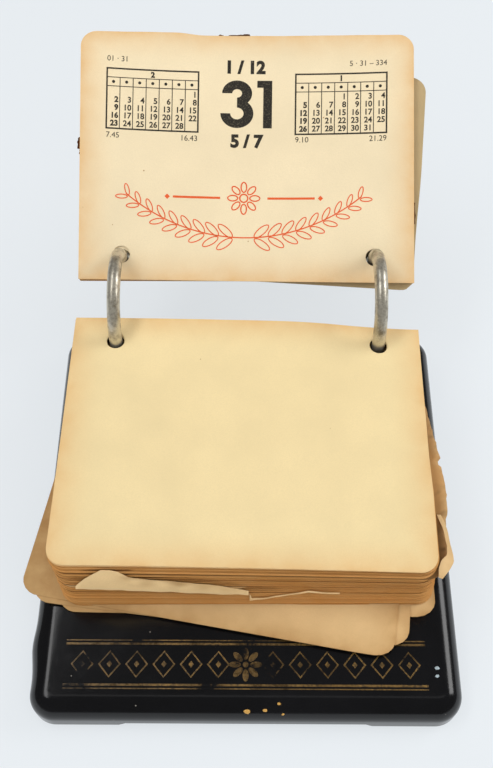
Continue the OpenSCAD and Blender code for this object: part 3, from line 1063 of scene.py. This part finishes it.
def ribbon(table, steps, rows, front, curl, lean):
    """A strip of paper before the block between the edges of a table; lean tips its upper edge out."""
    bm = bmesh.new()
    bmesh.ops.create_grid(bm, x_segments=steps, y_segments=rows, size=0.5)
    mark = bm.verts.layers.float.new("rim")
    for vert in bm.verts:
        x = table[0][0] + (vert.co.x + 0.5) * (table[-1][0] - table[0][0])
        low, high = between(table, x)
        up = low + (vert.co.y + 0.5) * (high - low)
        crumple = 0.18 * noise.noise(Vector((x / 4, up / 4, 6)))
        out = curl * math.sin(math.pi * (vert.co.y + 0.5)) + lean * (vert.co.y + 0.5)
        # Painted shade towards the upper edge of the flap, right of its hump, where it curves back into
        # the gap; noise makes it patchy.
        patchiness = 0.5 + 0.9 * noise.noise(Vector((x / 5, up / 3, 4)))
        vert[mark] = patchiness * smooth(-0.3, 0.5, vert.co.y) * smooth(-38, -28, x)
        vert.co = (x, front - out + crumple, up)
    return bm


# Both strips: edges, steps along and across, how far ahead of the leaf they stand, curl and lean
STRIPS = ((FLAP, 60, 6, 1.2, 0.2, -0.5), (LIP, 40, 3, 0.7, 0.2, 0.0))


def dog_eared_sheet(cut):
    """A leaf with a flap of its front edge folded up against the block, and a frayed lip beside that."""
    bm = flat_sheet(cut)
    for vert in bm.verts:
        pushed = smooth(-51, -47, vert.co.x) * smooth(2, -2, vert.co.x)
        vert.co.y -= 0.7 * pushed * smooth(-50, -70, vert.co.y)
    slope = mm(leaf_sizes().lean) / Pile().top
    for table, steps, rows, ahead, curl, lean in STRIPS:
        strip = ribbon(table, steps, rows, cut.front - ahead, curl, lean)
        for vert in strip.verts:
            vert.co.y += slope * vert.co.z
        join(bm, strip)
    return bm


# Right edge of the torn leaf, y and x from the front to the rear, and both edges of its flap
TORN_EDGE = ((-72.2, 54.6), (-69.6, 55.4), (-66.0, 56.2), (-57.0, 56.0), (-55.5, 56.2), (-52.5, 57.0),
             (-47.8, 57.2), (-42.5, 57.0), (-37.6, 56.5), (-36.6, 55.2), (-35.0, 56.5), (-29.7, 55.5),
             (-23.0, 54.4), (-18.0, 53.6), (-13.0, 53.0), (8.0, 53.0))
TORN_FLAP = ((-72.0, 52.6, 53.8), (-69.5, 52.8, 55.9), (-67.2, 53.6, 57.3), (-65.5, 55.4, 57.3),
             (-62.7, 55.6, 56.9), (-58.5, 55.0, 56.4), (-55.0, 54.3, 55.8), (-53.0, 53.9, 55.0))


def torn_strip():
    """The lifted strip at the front corner of the torn leaf."""
    bm = bmesh.new()
    bmesh.ops.create_grid(bm, x_segments=4, y_segments=30, size=0.5)
    light = bm.verts.layers.float.new("rim")
    front, rear = TORN_FLAP[0][0], TORN_FLAP[-1][0]
    for vert in bm.verts:
        vert[light] = 1.0
        across, y = vert.co.x + 0.5, (front + rear) / 2 + (rear - front) * vert.co.y
        inner, outer = between(TORN_FLAP, y)
        lift = 1.7 - 1.1 * across + 0.3 * noise.noise(Vector((y / 3, across, 8)))
        vert.co = (inner + across * (outer - inner), y, lift * smooth(-53, -58, y))
    return bm


def torn_sheet(cut):
    """A leaf that stands out at the right with a ragged edge and a lifted strip."""
    bm = flat_sheet(cut)
    light, painted_shade = bm.verts.layers.float["rim"], bm.verts.layers.float.new("painted_shade")
    for vert in bm.verts:
        x, y = vert.co.x, vert.co.y
        ragged = 0.3 * noise.noise(Vector((y / 2.5, 0, 2))) + 0.25 * noise.noise(Vector((y / 0.9, 0, 7)))
        out = between(TORN_EDGE, y)[0] - cut.half + ragged * smooth(-10, -20, y)
        share = smooth(38, cut.half, x)
        vert.co.x += out * share
        vert.co.z += share * (0.5 * noise.noise(Vector((x / 7, y / 5, 5))) - 0.4)
        vert.co.z += 0.9 * smooth(51, 53, x) * noise.noise(Vector((x / 2.5, y / 2.2, 3)))
        # Painted shade: dark lines along creases near the torn edge, and a painted shadow under the
        # lifted strip at the front.
        crease = smooth(0.14, 0.0, abs(noise.noise(Vector((x / 6, y / 4, 11)))))
        vert[light] = 0.5 * smooth(1.8, 0.2, cut.half - x)
        vert[painted_shade] = 0.35 * crease * smooth(48, 52, x) + 0.5 * smooth(-54, -58, y) * smooth(54, 50, x)
    join(bm, torn_strip())
    return bm


class CALENDAR_OT_damaged_leaves(Operator):
    """Makes the dog-eared leaf and the torn leaf in the block"""
    bl_idname = "calendar.damaged_leaves"
    bl_label = "Damaged leaves"

    def execute(self, context):
        pile, cut, tints = Pile(), Cut(), finishes()
        dog_eared = paper("dog_eared_paper", tints.folded, shade(tints.edge_light, 0.6), 0.9, 0.14)
        torn = paper("torn_paper", tints.torn, shade(tints.folded, 0.8), 0.9, 0.3)
        damaged = {"dog_eared_leaf": (dog_eared_sheet, DOG_EAR_OVER, dog_eared, "notes_paper"),
                   "torn_leaf": (torn_sheet, TORN_OVER, torn, "loose_paper")}
        for name, (make, months_under, sheet_paint, slot) in damaged.items():
            bm, level = make(cut), pile.month_level(months_under) - pile.leaf
            warp(bm, lambda spot: sag(level, spot))
            bmesh.ops.translate(bm, vec=(0, 0, pile.leaf / 2), verts=bm.verts)
            thicken(bm)
            settled = pile.lying(level) @ laid(*block_settling(level))
            place(bm, name + "_sheet", settled, [sheet_paint], "base", slot, [name])
        return {"FINISHED"}


# Printing

PRINT_LIFT = 0.03
CURVE_STEPS = 48
PETALS = 8
# Print lines rise a little towards the sides of a leaf
LINE_RISE = 0.0005
INK_WEAR = 0.18


class Print:
    """Flat printing, gathered in one mesh before it is bent with what carries it."""

    def __init__(self):
        self.bm = bmesh.new()

    def bar(self, x, v, width, height):
        """A rule about its middle."""
        spot = Matrix.Translation((x, v, 0)) @ Matrix.Diagonal((width, height, 1, 1))
        bmesh.ops.create_grid(self.bm, x_segments=max(1, round(width / 2)),
                              y_segments=max(1, round(height / 2)), size=0.5, matrix=spot)

    def blot(self, x, v, width, height, sides=20, turn=0.0):
        """A filled round, oval or, with four sides, a lozenge."""
        spot = laid((x, v, 0), turn) @ Matrix.Diagonal((width, height, 1, 1))
        made = bmesh.ops.create_circle(self.bm, cap_ends=True, radius=0.5, segments=sides, matrix=spot)
        return made["verts"]

    def outlined(self, x, v, width, height, line, sides=20, turn=0.0):
        """The same as a drawn line."""
        face = self.blot(x, v, width, height, sides, turn)[0].link_faces[0]
        bmesh.ops.inset_individual(self.bm, faces=[face], thickness=line)
        bmesh.ops.delete(self.bm, geom=[face], context="FACES")

    def figures(self, body, x, v, height, align="CENTER", bold=0.0):
        """Plain numbers: the foot of their line at v."""
        curve = bpy.data.curves.new("figures", "FONT")
        curve.body, curve.align_x, curve.offset, curve.resolution_u = body, align, bold, 4
        carrier = bpy.data.objects.new("figures", curve)
        mesh = bpy.data.meshes.new_from_object(carrier)
        scale = height / max(vert.co.y for vert in mesh.vertices)
        mesh.transform(Matrix.Translation((x, v, 0)) @ Matrix.Diagonal((scale, scale, 1, 1)))
        self.bm.from_mesh(mesh)
        bpy.data.objects.remove(carrier)
        bpy.data.curves.remove(curve)
        bpy.data.meshes.remove(mesh)


def month_grid(ink_layer, left, top, width, height, month, first_column, days):
    """A month as a ruled table: its number on top, a dot for each weekday, then the days."""
    border, line, head, column = 0.5, 0.26, 2.85, width / 7
    right, low = left + width, top - height
    for x in (left, right):
        ink_layer.bar(x, top - height / 2, border, height + border)
    for v in (top, low):
        ink_layer.bar(left + width / 2, v, width + border, border)
    for k in (1, 2):
        ink_layer.bar(left + width / 2, top - k * head, width, line)
    for k in range(1, 7):
        ink_layer.bar(left + k * column, (top - head + low) / 2, line, height - head)
    ink_layer.figures(month, left + width / 2, top - head + 0.55, 1.8, bold=0.05)
    for k in range(7):
        ink_layer.blot(left + (k + 0.5) * column, top - 1.5 * head, 1.0, 1.0)
    row = (height - 2 * head) / 5.35
    for day in range(1, days + 1):
        cell = first_column + day - 1
        x = left + (cell % 7 + 1) * column - 0.45
        v = top - 2 * head - (cell // 7 + 1) * row
        ink_layer.figures(str(day), x, v, 1.85, "RIGHT", 0.045 if cell % 7 == 0 else 0.026)


def big_day(ink_layer, x, v, width, height, stroke):
    """31 in geometric figures: two open bowls, and a stem with a short flag."""
    bm, three, waist = ink_layer.bm, 0.64 * width, 0.85 * stroke
    low_bowl = 0.53 * (height + waist)
    high_bowl = height + waist - low_bowl
    bowls = ((v + low_bowl / 2, low_bowl, three, math.pi / 2),
             (v + height - high_bowl / 2, high_bowl, 0.91 * three, math.pi))
    for centre, tall, wide, start in bowls:
        count = len(bm.verts)
        outer, inner = Vector((math.cos(start), math.sin(start), 0)) / 2, 0.5 - stroke / tall
        ends = [bm.verts.new(outer), bm.verts.new(outer * 2 * inner)]
        edge = bm.edges.new(ends)
        bmesh.ops.spin(bm, geom=[*ends, edge], cent=(0, 0, 0), axis=(0, 0, -1), angle=1.5 * math.pi,
                       steps=CURVE_STEPS)
        spot = Matrix.Translation((x + three / 2, centre, 0)) @ Matrix.Diagonal((wide, tall, 1, 1))
        bmesh.ops.transform(bm, matrix=spot, verts=new_verts(bm, count))
    right, flag = x + width, 0.12 * width
    ink_layer.bar(right - stroke / 2, v + height / 2, stroke, height)
    ink_layer.bar(right - stroke - flag / 2, v + height - stroke * 0.4, flag, stroke * 0.8)


# Day, the small month at the left and at the right (number, first column, days), then the small numbers
# above and below the day and in the upper corners
DATE_LEAF = ("31", ("2", 6, 28), ("1", 3, 31), "1 / 12", "5 / 7", "01 · 31", "5 · 31 – 334")
LEAF_BEFORE = ("30", ("2", 6, 28), ("1", 3, 31), "1 / 12", "4 / 7", "01 · 30", "5 · 30 – 335")
LEAF_AFTER = ("1", ("1", 3, 31), ("2", 6, 28), "2 / 12", "6 / 7", "02 · 32", "5 · 32 – 333")


# Left, top, width and height of the small months, foot and height of the day, and x, side and text of the
# numbers under the small months
LEFT_MONTH = (-45.5, 58.6, 29.1, 19.3)
RIGHT_MONTH = (14.6, 58.3, 28.9, 19.3)
DAY_FOOT = 40.9
DAY_HEIGHT = 15.3
FOOT_NUMBERS = ((-45.6, "LEFT", "7.45"), (-16.4, "RIGHT", "16.43"),
                (14.5, "LEFT", "9.10"), (43.6, "RIGHT", "21.29"))


def black_print(day, left, right, above, below, left_corner, right_corner):
    """Black printing of a leaf: two small months, the day in large figures and small numbers around."""
    layer = Print()
    month_grid(layer, *LEFT_MONTH, *left)
    month_grid(layer, *RIGHT_MONTH, *right)
    if day == "31":
        big_day(layer, -9.3, DAY_FOOT, 16.4, DAY_HEIGHT, 2.8)
    else:
        layer.figures(day, -1.1, DAY_FOOT, DAY_HEIGHT, bold=0.04)
    layer.figures(above, -1.6, 58.6, 4.1, bold=0.05)
    layer.figures(below, -0.9, 34.8, 4.1, bold=0.05)
    layer.figures(left_corner, -45.6, 61.0, 1.7, "LEFT")
    layer.figures(right_corner, 43.6, 60.7, 1.7, "RIGHT")
    for x, align, number in FOOT_NUMBERS:
        layer.figures(number, x, 36.4, 1.75, align)
    return layer


def leafy_swag(layer, x, top, half_span, depth):
    """A hanging swag of drawn leaves on a thin stem, about its middle x."""
    radius = (half_span ** 2 + depth ** 2) / (2 * depth)
    end = math.asin(half_span / radius)
    centre = top - depth + radius
    stem, leaf_pairs = 0.4, 9
    for side in (-1, 1):
        for k in range(leaf_pairs):
            share = (k + 0.7) / leaf_pairs
            angle = side * end * share
            foot = Vector((x + radius * math.sin(angle), centre - radius * math.cos(angle)))
            size = 6.4 - 2.4 * share
            for way in (-1, 1):
                turn = angle + side * way * math.radians(38)
                spot = foot + Vector((math.cos(turn), math.sin(turn))) * side * (size / 2 + 0.3)
                layer.outlined(spot.x, spot.y, size, size * 0.4, 0.34, 18, turn)
    tip = Vector((-math.sin(end), -math.cos(end), 0))
    ends = [layer.bm.verts.new(Vector((x, centre, 0)) + tip * reach) for reach in (radius, radius - stem)]
    edge = layer.bm.edges.new(ends)
    bmesh.ops.spin(layer.bm, geom=[*ends, edge], cent=(x, centre, 0), axis=(0, 0, 1), angle=2 * end,
                   steps=CURVE_STEPS)


def orange_print():
    """Orange printing of a leaf: a leafy swag under a small flower between rules."""
    layer = Print()
    x, v = -1.5, 18.4
    leafy_swag(layer, x, v + 0.2, 37.5, 13.0)
    layer.outlined(x, v, 3.0, 3.0, 0.45, 24)
    for k in range(PETALS):
        turn = k * 2 * math.pi / PETALS
        layer.outlined(x + 3.5 * math.cos(turn), v + 3.5 * math.sin(turn), 3.6, 2.2, 0.4, 18, turn)
    for side in (-1, 1):
        layer.bar(x + side * 15.0, v, 15.0, 0.7)
        layer.blot(x + side * 24.3, v, 1.7, 1.7, 4)
    return layer


def print_leaf(name, numbers, matrix, on_sheet, body, slot):
    """Prints a leaf in black and orange; on_sheet(x, v) gives a point's place on the bent leaf."""
    tints = finishes()
    layers = {"black": (black_print(*numbers), tints.black_ink),
              "orange": (orange_print(), tints.orange_ink)}
    for hue, (layer, tint) in layers.items():
        for vert in layer.bm.verts:
            vert.co = on_sheet(vert.co.x, vert.co.y + LINE_RISE * vert.co.x ** 2)
        place(layer.bm, f"{name}_{hue}", matrix, [ink(f"{hue}_ink", tint, INK_WEAR)], body, slot)


# Leaves that turn

LEAF_WAVE = 0.12


class CALENDAR_OT_notes_leaf(Operator):
    """Lays the blank notes leaf on top of the block"""
    bl_idname = "calendar.notes_leaf"
    bl_label = "Notes leaf"

    def execute(self, context):
        pile, cut, tints = Pile(), Cut(), finishes()
        notes_paper = paper("notes_paper", tints.notes, tints.browned, 0.8)
        wave = soft_wave(12, 30)

        def shape(spot):
            ripple = 0.25 * smooth(0, cut.inset, spot.y) * wave(spot.x * 2.5, 40)
            return sag(pile.top, spot) + LEAF_WAVE * wave(spot.x, spot.y) + ripple

        def make(cell):
            sheet = flat_sheet(cut, cell, ASKEW_HOLES)
            for vert in sheet.verts:
                vert.co.xy -= edge_wear(pile.top, vert.co, NOTES_WEAR)
            return sheet

        bm = clinging_sheets(make, shape, pile.leaf)
        settled = pile.lying(pile.notes) @ laid((0, -FORWARD, 0), math.radians(-1.0))
        place(bm, "notes_leaf_sheets", settled, [notes_paper], "notes_leaf", "notes_paper",
              ["notes_leaf"])

        def underneath(x, v):
            spot = Vector((x, -v, 0))
            return spot + Vector((0, 0, shape(spot) - PRINT_LIFT))

        print_leaf("notes_print", LEAF_AFTER, settled, underneath, "notes_leaf", "notes_paper")
        return {"FINISHED"}


# The turned leaves lie a little to the left, the date leaf is cut out of square, and the pack behind it
# is bent less and a little narrower; the card has some play on the wire
LEFTWARD = 0.45
OUT_OF_SQUARE = 0.0087
PACK_BEND = 0.8
PACK_WIDTH = 0.994
CARD_PLAY = 0.2


def turned_sheet(cut, cell):
    """A sheet with its free edge up the back rest."""
    bm = flat_sheet(cut, cell)
    half_turn(bm)
    return bm


def forward_bow(x):
    """Rise of the turned leaves, below 0 where they lie back between their sides."""
    return SAG * ((x / Cut().half) ** 2 - 1)


# Browned scraps at the edges of the turned leaves, and at the right edge a dark strip that is a painted
# shadow in the gap where the card meets the date leaf: x, y, width and height of each
SCRAPS_AND_SHADE = ((-8.8, 71.4, 1.6, 1.0), (-3.2, 71.2, 6.2, 1.5), (-1.4, 71.5, 3.6, 1.0), (4.6, 70.9, 8.0, 1.2),
          (-53.8, 36.6, 1.1, 3.6), (-53.5, 33.8, 0.8, 1.4), (52.5, 14.5, 1.0, 7.0))


def edge_scraps(pile):
    """Small ragged scraps of leaves that hang on at the edges of the turned ones, and a dark strip of
    painted shadow at the right edge.
    """
    bm = bmesh.new()
    for x, y, width, height in SCRAPS_AND_SHADE:
        spot = Matrix.Translation((x, y, pile.month * 0.9)) @ Matrix.Diagonal((width, height, 1, 1))
        bmesh.ops.create_grid(bm, x_segments=8, y_segments=5, size=0.5, matrix=spot)
    for vert in bm.verts:
        ragged = Vector((noise.noise(vert.co * 1.3), noise.noise(vert.co * 1.7 + Vector((9, 0, 0)))))
        vert.co.xy += 0.35 * ragged
        vert.co.z += forward_bow(vert.co.x) * 0.7
    thicken(bm)
    return bm


class CALENDAR_OT_turned_leaves(Operator):
    """Lays the turned leaves of the month and the card behind them"""
    bl_idname = "calendar.turned_leaves"
    bl_label = "Turned leaves"

    def execute(self, context):
        pile, cut, tints, sizes = Pile(), Cut(), finishes(), leaf_sizes()
        layer = layer_outline(cut, pile.month / LAYERS * LAYER_FILL)
        bm = layered_pack(layer, pile.month, 31, lambda rise: (Vector((0, 0, 0)), 0.0), covered=True)
        half_turn(bm)
        cover = turned_sheet(cut, CELL)
        for vert in (*bm.verts, *cover.verts):
            vert.co.x -= LEFTWARD * smooth(42, 52, abs(vert.co.x))
            vert.co.x *= PACK_WIDTH
            vert.co.y += 0.9 * smooth(-4, -8, vert.co.y) - 1.4 * smooth(60, 72, vert.co.y)

        def cover_height(spot):
            return pile.month + COVER_RISE + forward_bow(spot.x) * PACK_BEND

        def in_front(x, v):
            spot = Vector((x, v, 0))
            return spot + Vector((0, 0, cover_height(spot) + PRINT_LIFT))

        warp(bm, lambda spot: forward_bow(spot.x) * spot.z / pile.month * PACK_BEND)
        bend_cover(cover, cut, cover_height)
        sheet_paint = paper("turned_paper", tints.date, tints.edge_light)
        edges = block_edges("turned_edges", TOP_SLOPE + pile.lean)
        settled = pile.turned(pile.january, pile.month)
        place(bm, "january_pack", settled, [sheet_paint, edges], "bow", "block_paper", ["january_leaves"])
        place(cover, "january_cover", settled, [sheet_paint, edges], "bow", "block_paper")
        print_leaf("january_print", LEAF_BEFORE, settled, in_front, "bow", "block_paper")
        # Dark paper for the scraps and for the painted shadow in the gap by the card.
        scrap_and_shade_paper = paper("scrap_and_shade_paper", tints.edge_dark, shade(tints.edge_dark, 0.6), 0.8, 0.3)
        place(edge_scraps(pile), "january_scraps_and_shade", settled, [scrap_and_shade_paper], "bow", "block_paper")
        card_cut = Cut(mm(sizes.card_height), mm(sizes.card_inset))
        card_cut.hole = mm(bow_sizes().wire) / 2 + CARD_PLAY

        def make(cell):
            sheet = flat_sheet(card_cut, cell)
            tear_hole(sheet, card_cut, 1, card_cut.height)
            half_turn(sheet)
            for vert in sheet.verts:
                x, y = vert.co.xy
                vert.co.x += 0.75 * smooth(44, 53, x) * smooth(5, 32, y)
                vert.co.y += (1.4 + 2.4 * smooth(49.5, 53, x) ** 2) * smooth(-4, -card_cut.inset, y)
            # Painted shade on the card around the wire holes, where it lies deep under the holes of the
            # leaves in front.
            if cell == CELL:
                painted_shade = sheet.verts.layers.float.new("painted_shade")
                for vert in sheet.verts:
                    vert[painted_shade] = smooth(4.5, 3.0, math.hypot(abs(vert.co.x) - card_cut.leg, vert.co.y))
            return sheet

        card = clinging_sheets(make, lambda spot: 0, pile.leaf, (CELL, COARSE_CELL))
        khaki = paper("khaki_card", tints.khaki, shade(tints.khaki, 0.7), 0.8, 0.14)
        settled = pile.turned(pile.card, pile.leaf) @ about_leg(1, -sizes.card_turn)
        place(card, "khaki_card_sheets", settled, [khaki], "bow", "khaki_card", ["card_leaf"])
        return {"FINISHED"}


class CALENDAR_OT_date_leaf(Operator):
    """Lays the date leaf against the turned ones and prints it"""
    bl_idname = "calendar.date_leaf"
    bl_label = "Date leaf"

    def execute(self, context):
        pile, cut, tints = Pile(), Cut(), finishes()
        date_paper = paper("date_paper", tints.date, tints.browned, 0.85)
        wave = soft_wave(21, 34)
        settled = pile.turned(pile.date, pile.leaf) @ laid((0, 0.35, 0), math.radians(-0.5))

        def make(cell):
            sheet = turned_sheet(cut, cell)
            for vert in sheet.verts:
                x = vert.co.x
                vert.co.x -= OUT_OF_SQUARE * vert.co.y + LEFTWARD * smooth(42, 52, abs(x))
                step = smooth(-24, -14, x) * (0.9 - 0.9 * smooth(-14, 60, x))
                trimmed = 0.55 + step + 0.15 * wave(x * 3, 5)
                vert.co.y -= trimmed * smooth(62, 72, vert.co.y)
            return sheet

        def shape(spot):
            return forward_bow(spot.x) + LEAF_WAVE * wave(spot.x, spot.y)

        bm = clinging_sheets(make, shape, pile.leaf)
        place(bm, "date_leaf_sheets", settled, [date_paper], "date_leaf", "date_paper", ["date_leaf"])

        def in_front(x, v):
            spot = Vector((x, v, 0))
            return spot + Vector((0, 0, pile.leaf + PRINT_LIFT + shape(spot)))

        print_leaf("date_print", DATE_LEAF, settled, in_front, "date_leaf", "date_paper")
        return {"FINISHED"}


# Ornament and marks on the base

ORNAMENT_LIFT = 0.03
# Place of the pattern's middle line and of the rules beside it, from the front edge, with their width
ORNAMENT_AT = 14.2
RULES = ((20.9, 0.3), (19.9, 0.6), (8.5, 0.6), (7.5, 0.3))
RULE_LENGTH = 101
LOZENGES_A_SIDE = 6
LOZENGE_STEP = 7.6

# Dried drops by the front edge: x, distance from that edge, and size
OCHRE_DROPS = ((0.4, 1.8, 1.5), (5.4, 2.1, 1.0), (9.2, 3.7, 0.8), (10.3, 1.3, 0.7))
BLUE_DROPS = ((53.3, 13.5, 1.1), (53.1, 11.3, 0.9))


def paint_drops(table):
    """Flat drops on the top of the base and over its rolled front edge."""
    bm, roll = bmesh.new(), mm(base_sizes().roll)
    for x, y, size in table:
        fall = math.asin(max(0.0, roll - y) / roll)
        spot = Matrix.Translation((x, y, roll * math.cos(fall) - roll)) @ Matrix.Rotation(fall, 4, "X")
        bmesh.ops.create_icosphere(bm, subdivisions=3, radius=size / 2,
                                   matrix=spot @ Matrix.Diagonal((1.25, 0.9, 0.3, 1)))
    for vert in bm.verts:
        vert.co.xy += Vector((noise.noise(vert.co * 1.7), noise.noise(vert.co * 1.9))) * 0.15
    return bm


class CALENDAR_OT_ornament(Operator):
    """Draws the worn gold lines on the front of the base, and the drops of paint"""
    bl_idname = "calendar.ornament"
    bl_label = "Ornament"

    def execute(self, context):
        layer, tints = Print(), finishes()
        for y, line in RULES:
            layer.bar(0, y, RULE_LENGTH, line)
        for k in range(-LOZENGES_A_SIDE, LOZENGES_A_SIDE + 1):
            if k:
                layer.outlined(k * LOZENGE_STEP, ORNAMENT_AT, 6.4, 7.6, 0.55, 4)
                layer.blot(k * LOZENGE_STEP, ORNAMENT_AT, 1.5, 1.9, 4)
        for k in range(PETALS):
            turn = k * 2 * math.pi / PETALS
            layer.blot(3.0 * math.cos(turn), ORNAMENT_AT + 3.0 * math.sin(turn), 3.4, 1.7, 16, turn)
        layer.blot(0, ORNAMENT_AT, 1.6, 1.6)
        for vert in layer.bm.verts:
            vert.co.z = ORNAMENT_LIFT
        place(layer.bm, "base_ornament", base_top(), [worn_gold()], "base", "black_lacquer")
        ochre, blue = oil_paint("ochre_paint", tints.ochre), oil_paint("blue_paint", tints.pale_blue)
        place(paint_drops(OCHRE_DROPS), "paint_drops", base_top(), [ochre], "base", "black_lacquer")
        place(paint_drops(BLUE_DROPS), "blue_drops", base_top(), [blue], "base", "black_lacquer")
        return {"FINISHED"}


# Stage

# Camera in millimetres and degrees, lights and floor in metres
CAMERA_AT = (0.7, -137.3, 283.9)
CAMERA_DOWN = 56.19
CAMERA_YAW = 0.3
LENS = 46.38
LIGHTS_AIM = (0, 0, 0.03)
FLOOR_HALF = 1.5


def soft_box(name, toward, distance, width, height, power, mirrored=True):
    """A soft rectangular light that looks at the object from a direction, mirrored in gloss or not."""
    light = bpy.data.lights.new(name, "AREA")
    light.shape, light.size, light.size_y, light.energy = "RECTANGLE", width, height, power
    lamp = bpy.data.objects.new(name, light)
    lamp.visible_glossy = mirrored
    way = Vector(toward).normalized()
    lamp.location = Vector(LIGHTS_AIM) + way * distance
    lamp.rotation_euler = way.to_track_quat("Z", "Y").to_euler()
    bpy.context.scene.collection.objects.link(lamp)


def floor_paint():
    """Pale floor that is seen as a backdrop, yet keeps the object's shadow."""
    paint = Paint("pale_floor", Roughness=0.85, Specular_IOR_Level=0.1)
    tint = finishes().floor
    clouds = paint.spread(paint.noise(9, 4), 0.3, 0.7)
    paint.feed("Base Color", paint.mix(clouds, shade(tint, 0.985), shade(tint, 1.0)))
    rays = paint.node("ShaderNodeLightPath").outputs
    seen = paint.math("MAXIMUM", rays["Is Camera Ray"], rays["Is Glossy Ray"])
    seen = paint.math("MAXIMUM", seen, rays["Is Transmission Ray"])
    pale = paint.node("ShaderNodeEmission", {"Color": tint}).outputs["Emission"]
    share = paint.math("MULTIPLY", seen, bpy.context.scene.calendar_stage.glow)
    both = paint.node("ShaderNodeMixShader", {0: share, 1: paint.shader.outputs["BSDF"], 2: pale})
    paint.set(paint.nodes["Material Output"].inputs["Surface"], both.outputs["Shader"])
    return paint.material


class CALENDAR_OT_stage(Operator):
    """Lays the floor and sets the lights and the camera"""
    bl_idname = "calendar.stage"
    bl_label = "Stage"

    def execute(self, context):
        scene, settings = context.scene, context.scene.calendar_stage
        bm = bmesh.new()
        bmesh.ops.create_grid(bm, x_segments=8, y_segments=8, size=FLOOR_HALF)
        mesh = bpy.data.meshes.new("floor")
        bm.to_mesh(mesh)
        bm.free()
        mesh.materials.append(floor_paint())
        floor = bpy.data.objects.new("floor", mesh)
        scene.collection.objects.link(floor)
        soft_box("left_light", (-0.42, 0.13, 0.88), 0.9, 0.75, 0.18, settings.left)
        soft_box("front_light", (0, -0.06, 1), 0.9, 0.9, 0.06, settings.front)
        soft_box("right_light", (0.80, 0.25, 0.55), 0.9, 0.5, 0.36, settings.right)
        soft_box("ceiling_light", (0, -0.5, 0.87), 1.4, 3, 3, settings.above, mirrored=False)
        scene.world = scene.world or bpy.data.worlds.new("even_light")
        scene.world.use_nodes = True
        even_light = scene.world.node_tree.nodes["Background"].inputs
        even_light["Color"].default_value = (1, 1, 1, 1)
        even_light["Strength"].default_value = settings.world
        scene.view_settings.view_transform = "Standard"
        camera = bpy.data.cameras.new("camera")
        camera.lens, camera.sensor_width, camera.clip_start = LENS, 36, 0.01
        viewer = bpy.data.objects.new("camera", camera)
        viewer.location = Vector(CAMERA_AT) * MM
        viewer.rotation_euler = (math.radians(90 - CAMERA_DOWN), 0, math.radians(CAMERA_YAW))
        scene.collection.objects.link(viewer)
        scene.camera = viewer
        return {"FINISHED"}


class CALENDAR_PT_panel(Panel):
    """Lists the steps in the sidebar"""
    bl_idname = "CALENDAR_PT_panel"
    bl_label = "Desk calendar"
    bl_space_type = "VIEW_3D"
    bl_region_type = "UI"
    bl_category = "Calendar"

    def draw(self, context):
        for step in STEPS:
            self.layout.operator(step.bl_idname)


STEPS = (CALENDAR_OT_stage, CALENDAR_OT_base, CALENDAR_OT_fittings, CALENDAR_OT_ornament,
         CALENDAR_OT_bow, CALENDAR_OT_block, CALENDAR_OT_loose_leaves, CALENDAR_OT_damaged_leaves,
         CALENDAR_OT_notes_leaf, CALENDAR_OT_turned_leaves, CALENDAR_OT_date_leaf)
SETTINGS = {"calendar_base": BaseSizes, "calendar_leaves": LeafSizes, "calendar_bow": BowSizes,
            "calendar_finishes": Finishes, "calendar_stage": StageSettings}


def register():
    for made in (*SETTINGS.values(), *STEPS, CALENDAR_PT_panel):
        bpy.utils.register_class(made)
    for name, group in SETTINGS.items():
        setattr(bpy.types.Scene, name, PointerProperty(type=group))


def unregister():
    for name in SETTINGS:
        delattr(bpy.types.Scene, name)
    for made in (CALENDAR_PT_panel, *reversed(STEPS), *SETTINGS.values()):
        bpy.utils.unregister_class(made)


def main():
    register()
    for step in STEPS:
        family, action = step.bl_idname.split(".")
        getattr(getattr(bpy.ops, family), action)()


if __name__ == "__main__":
    main()
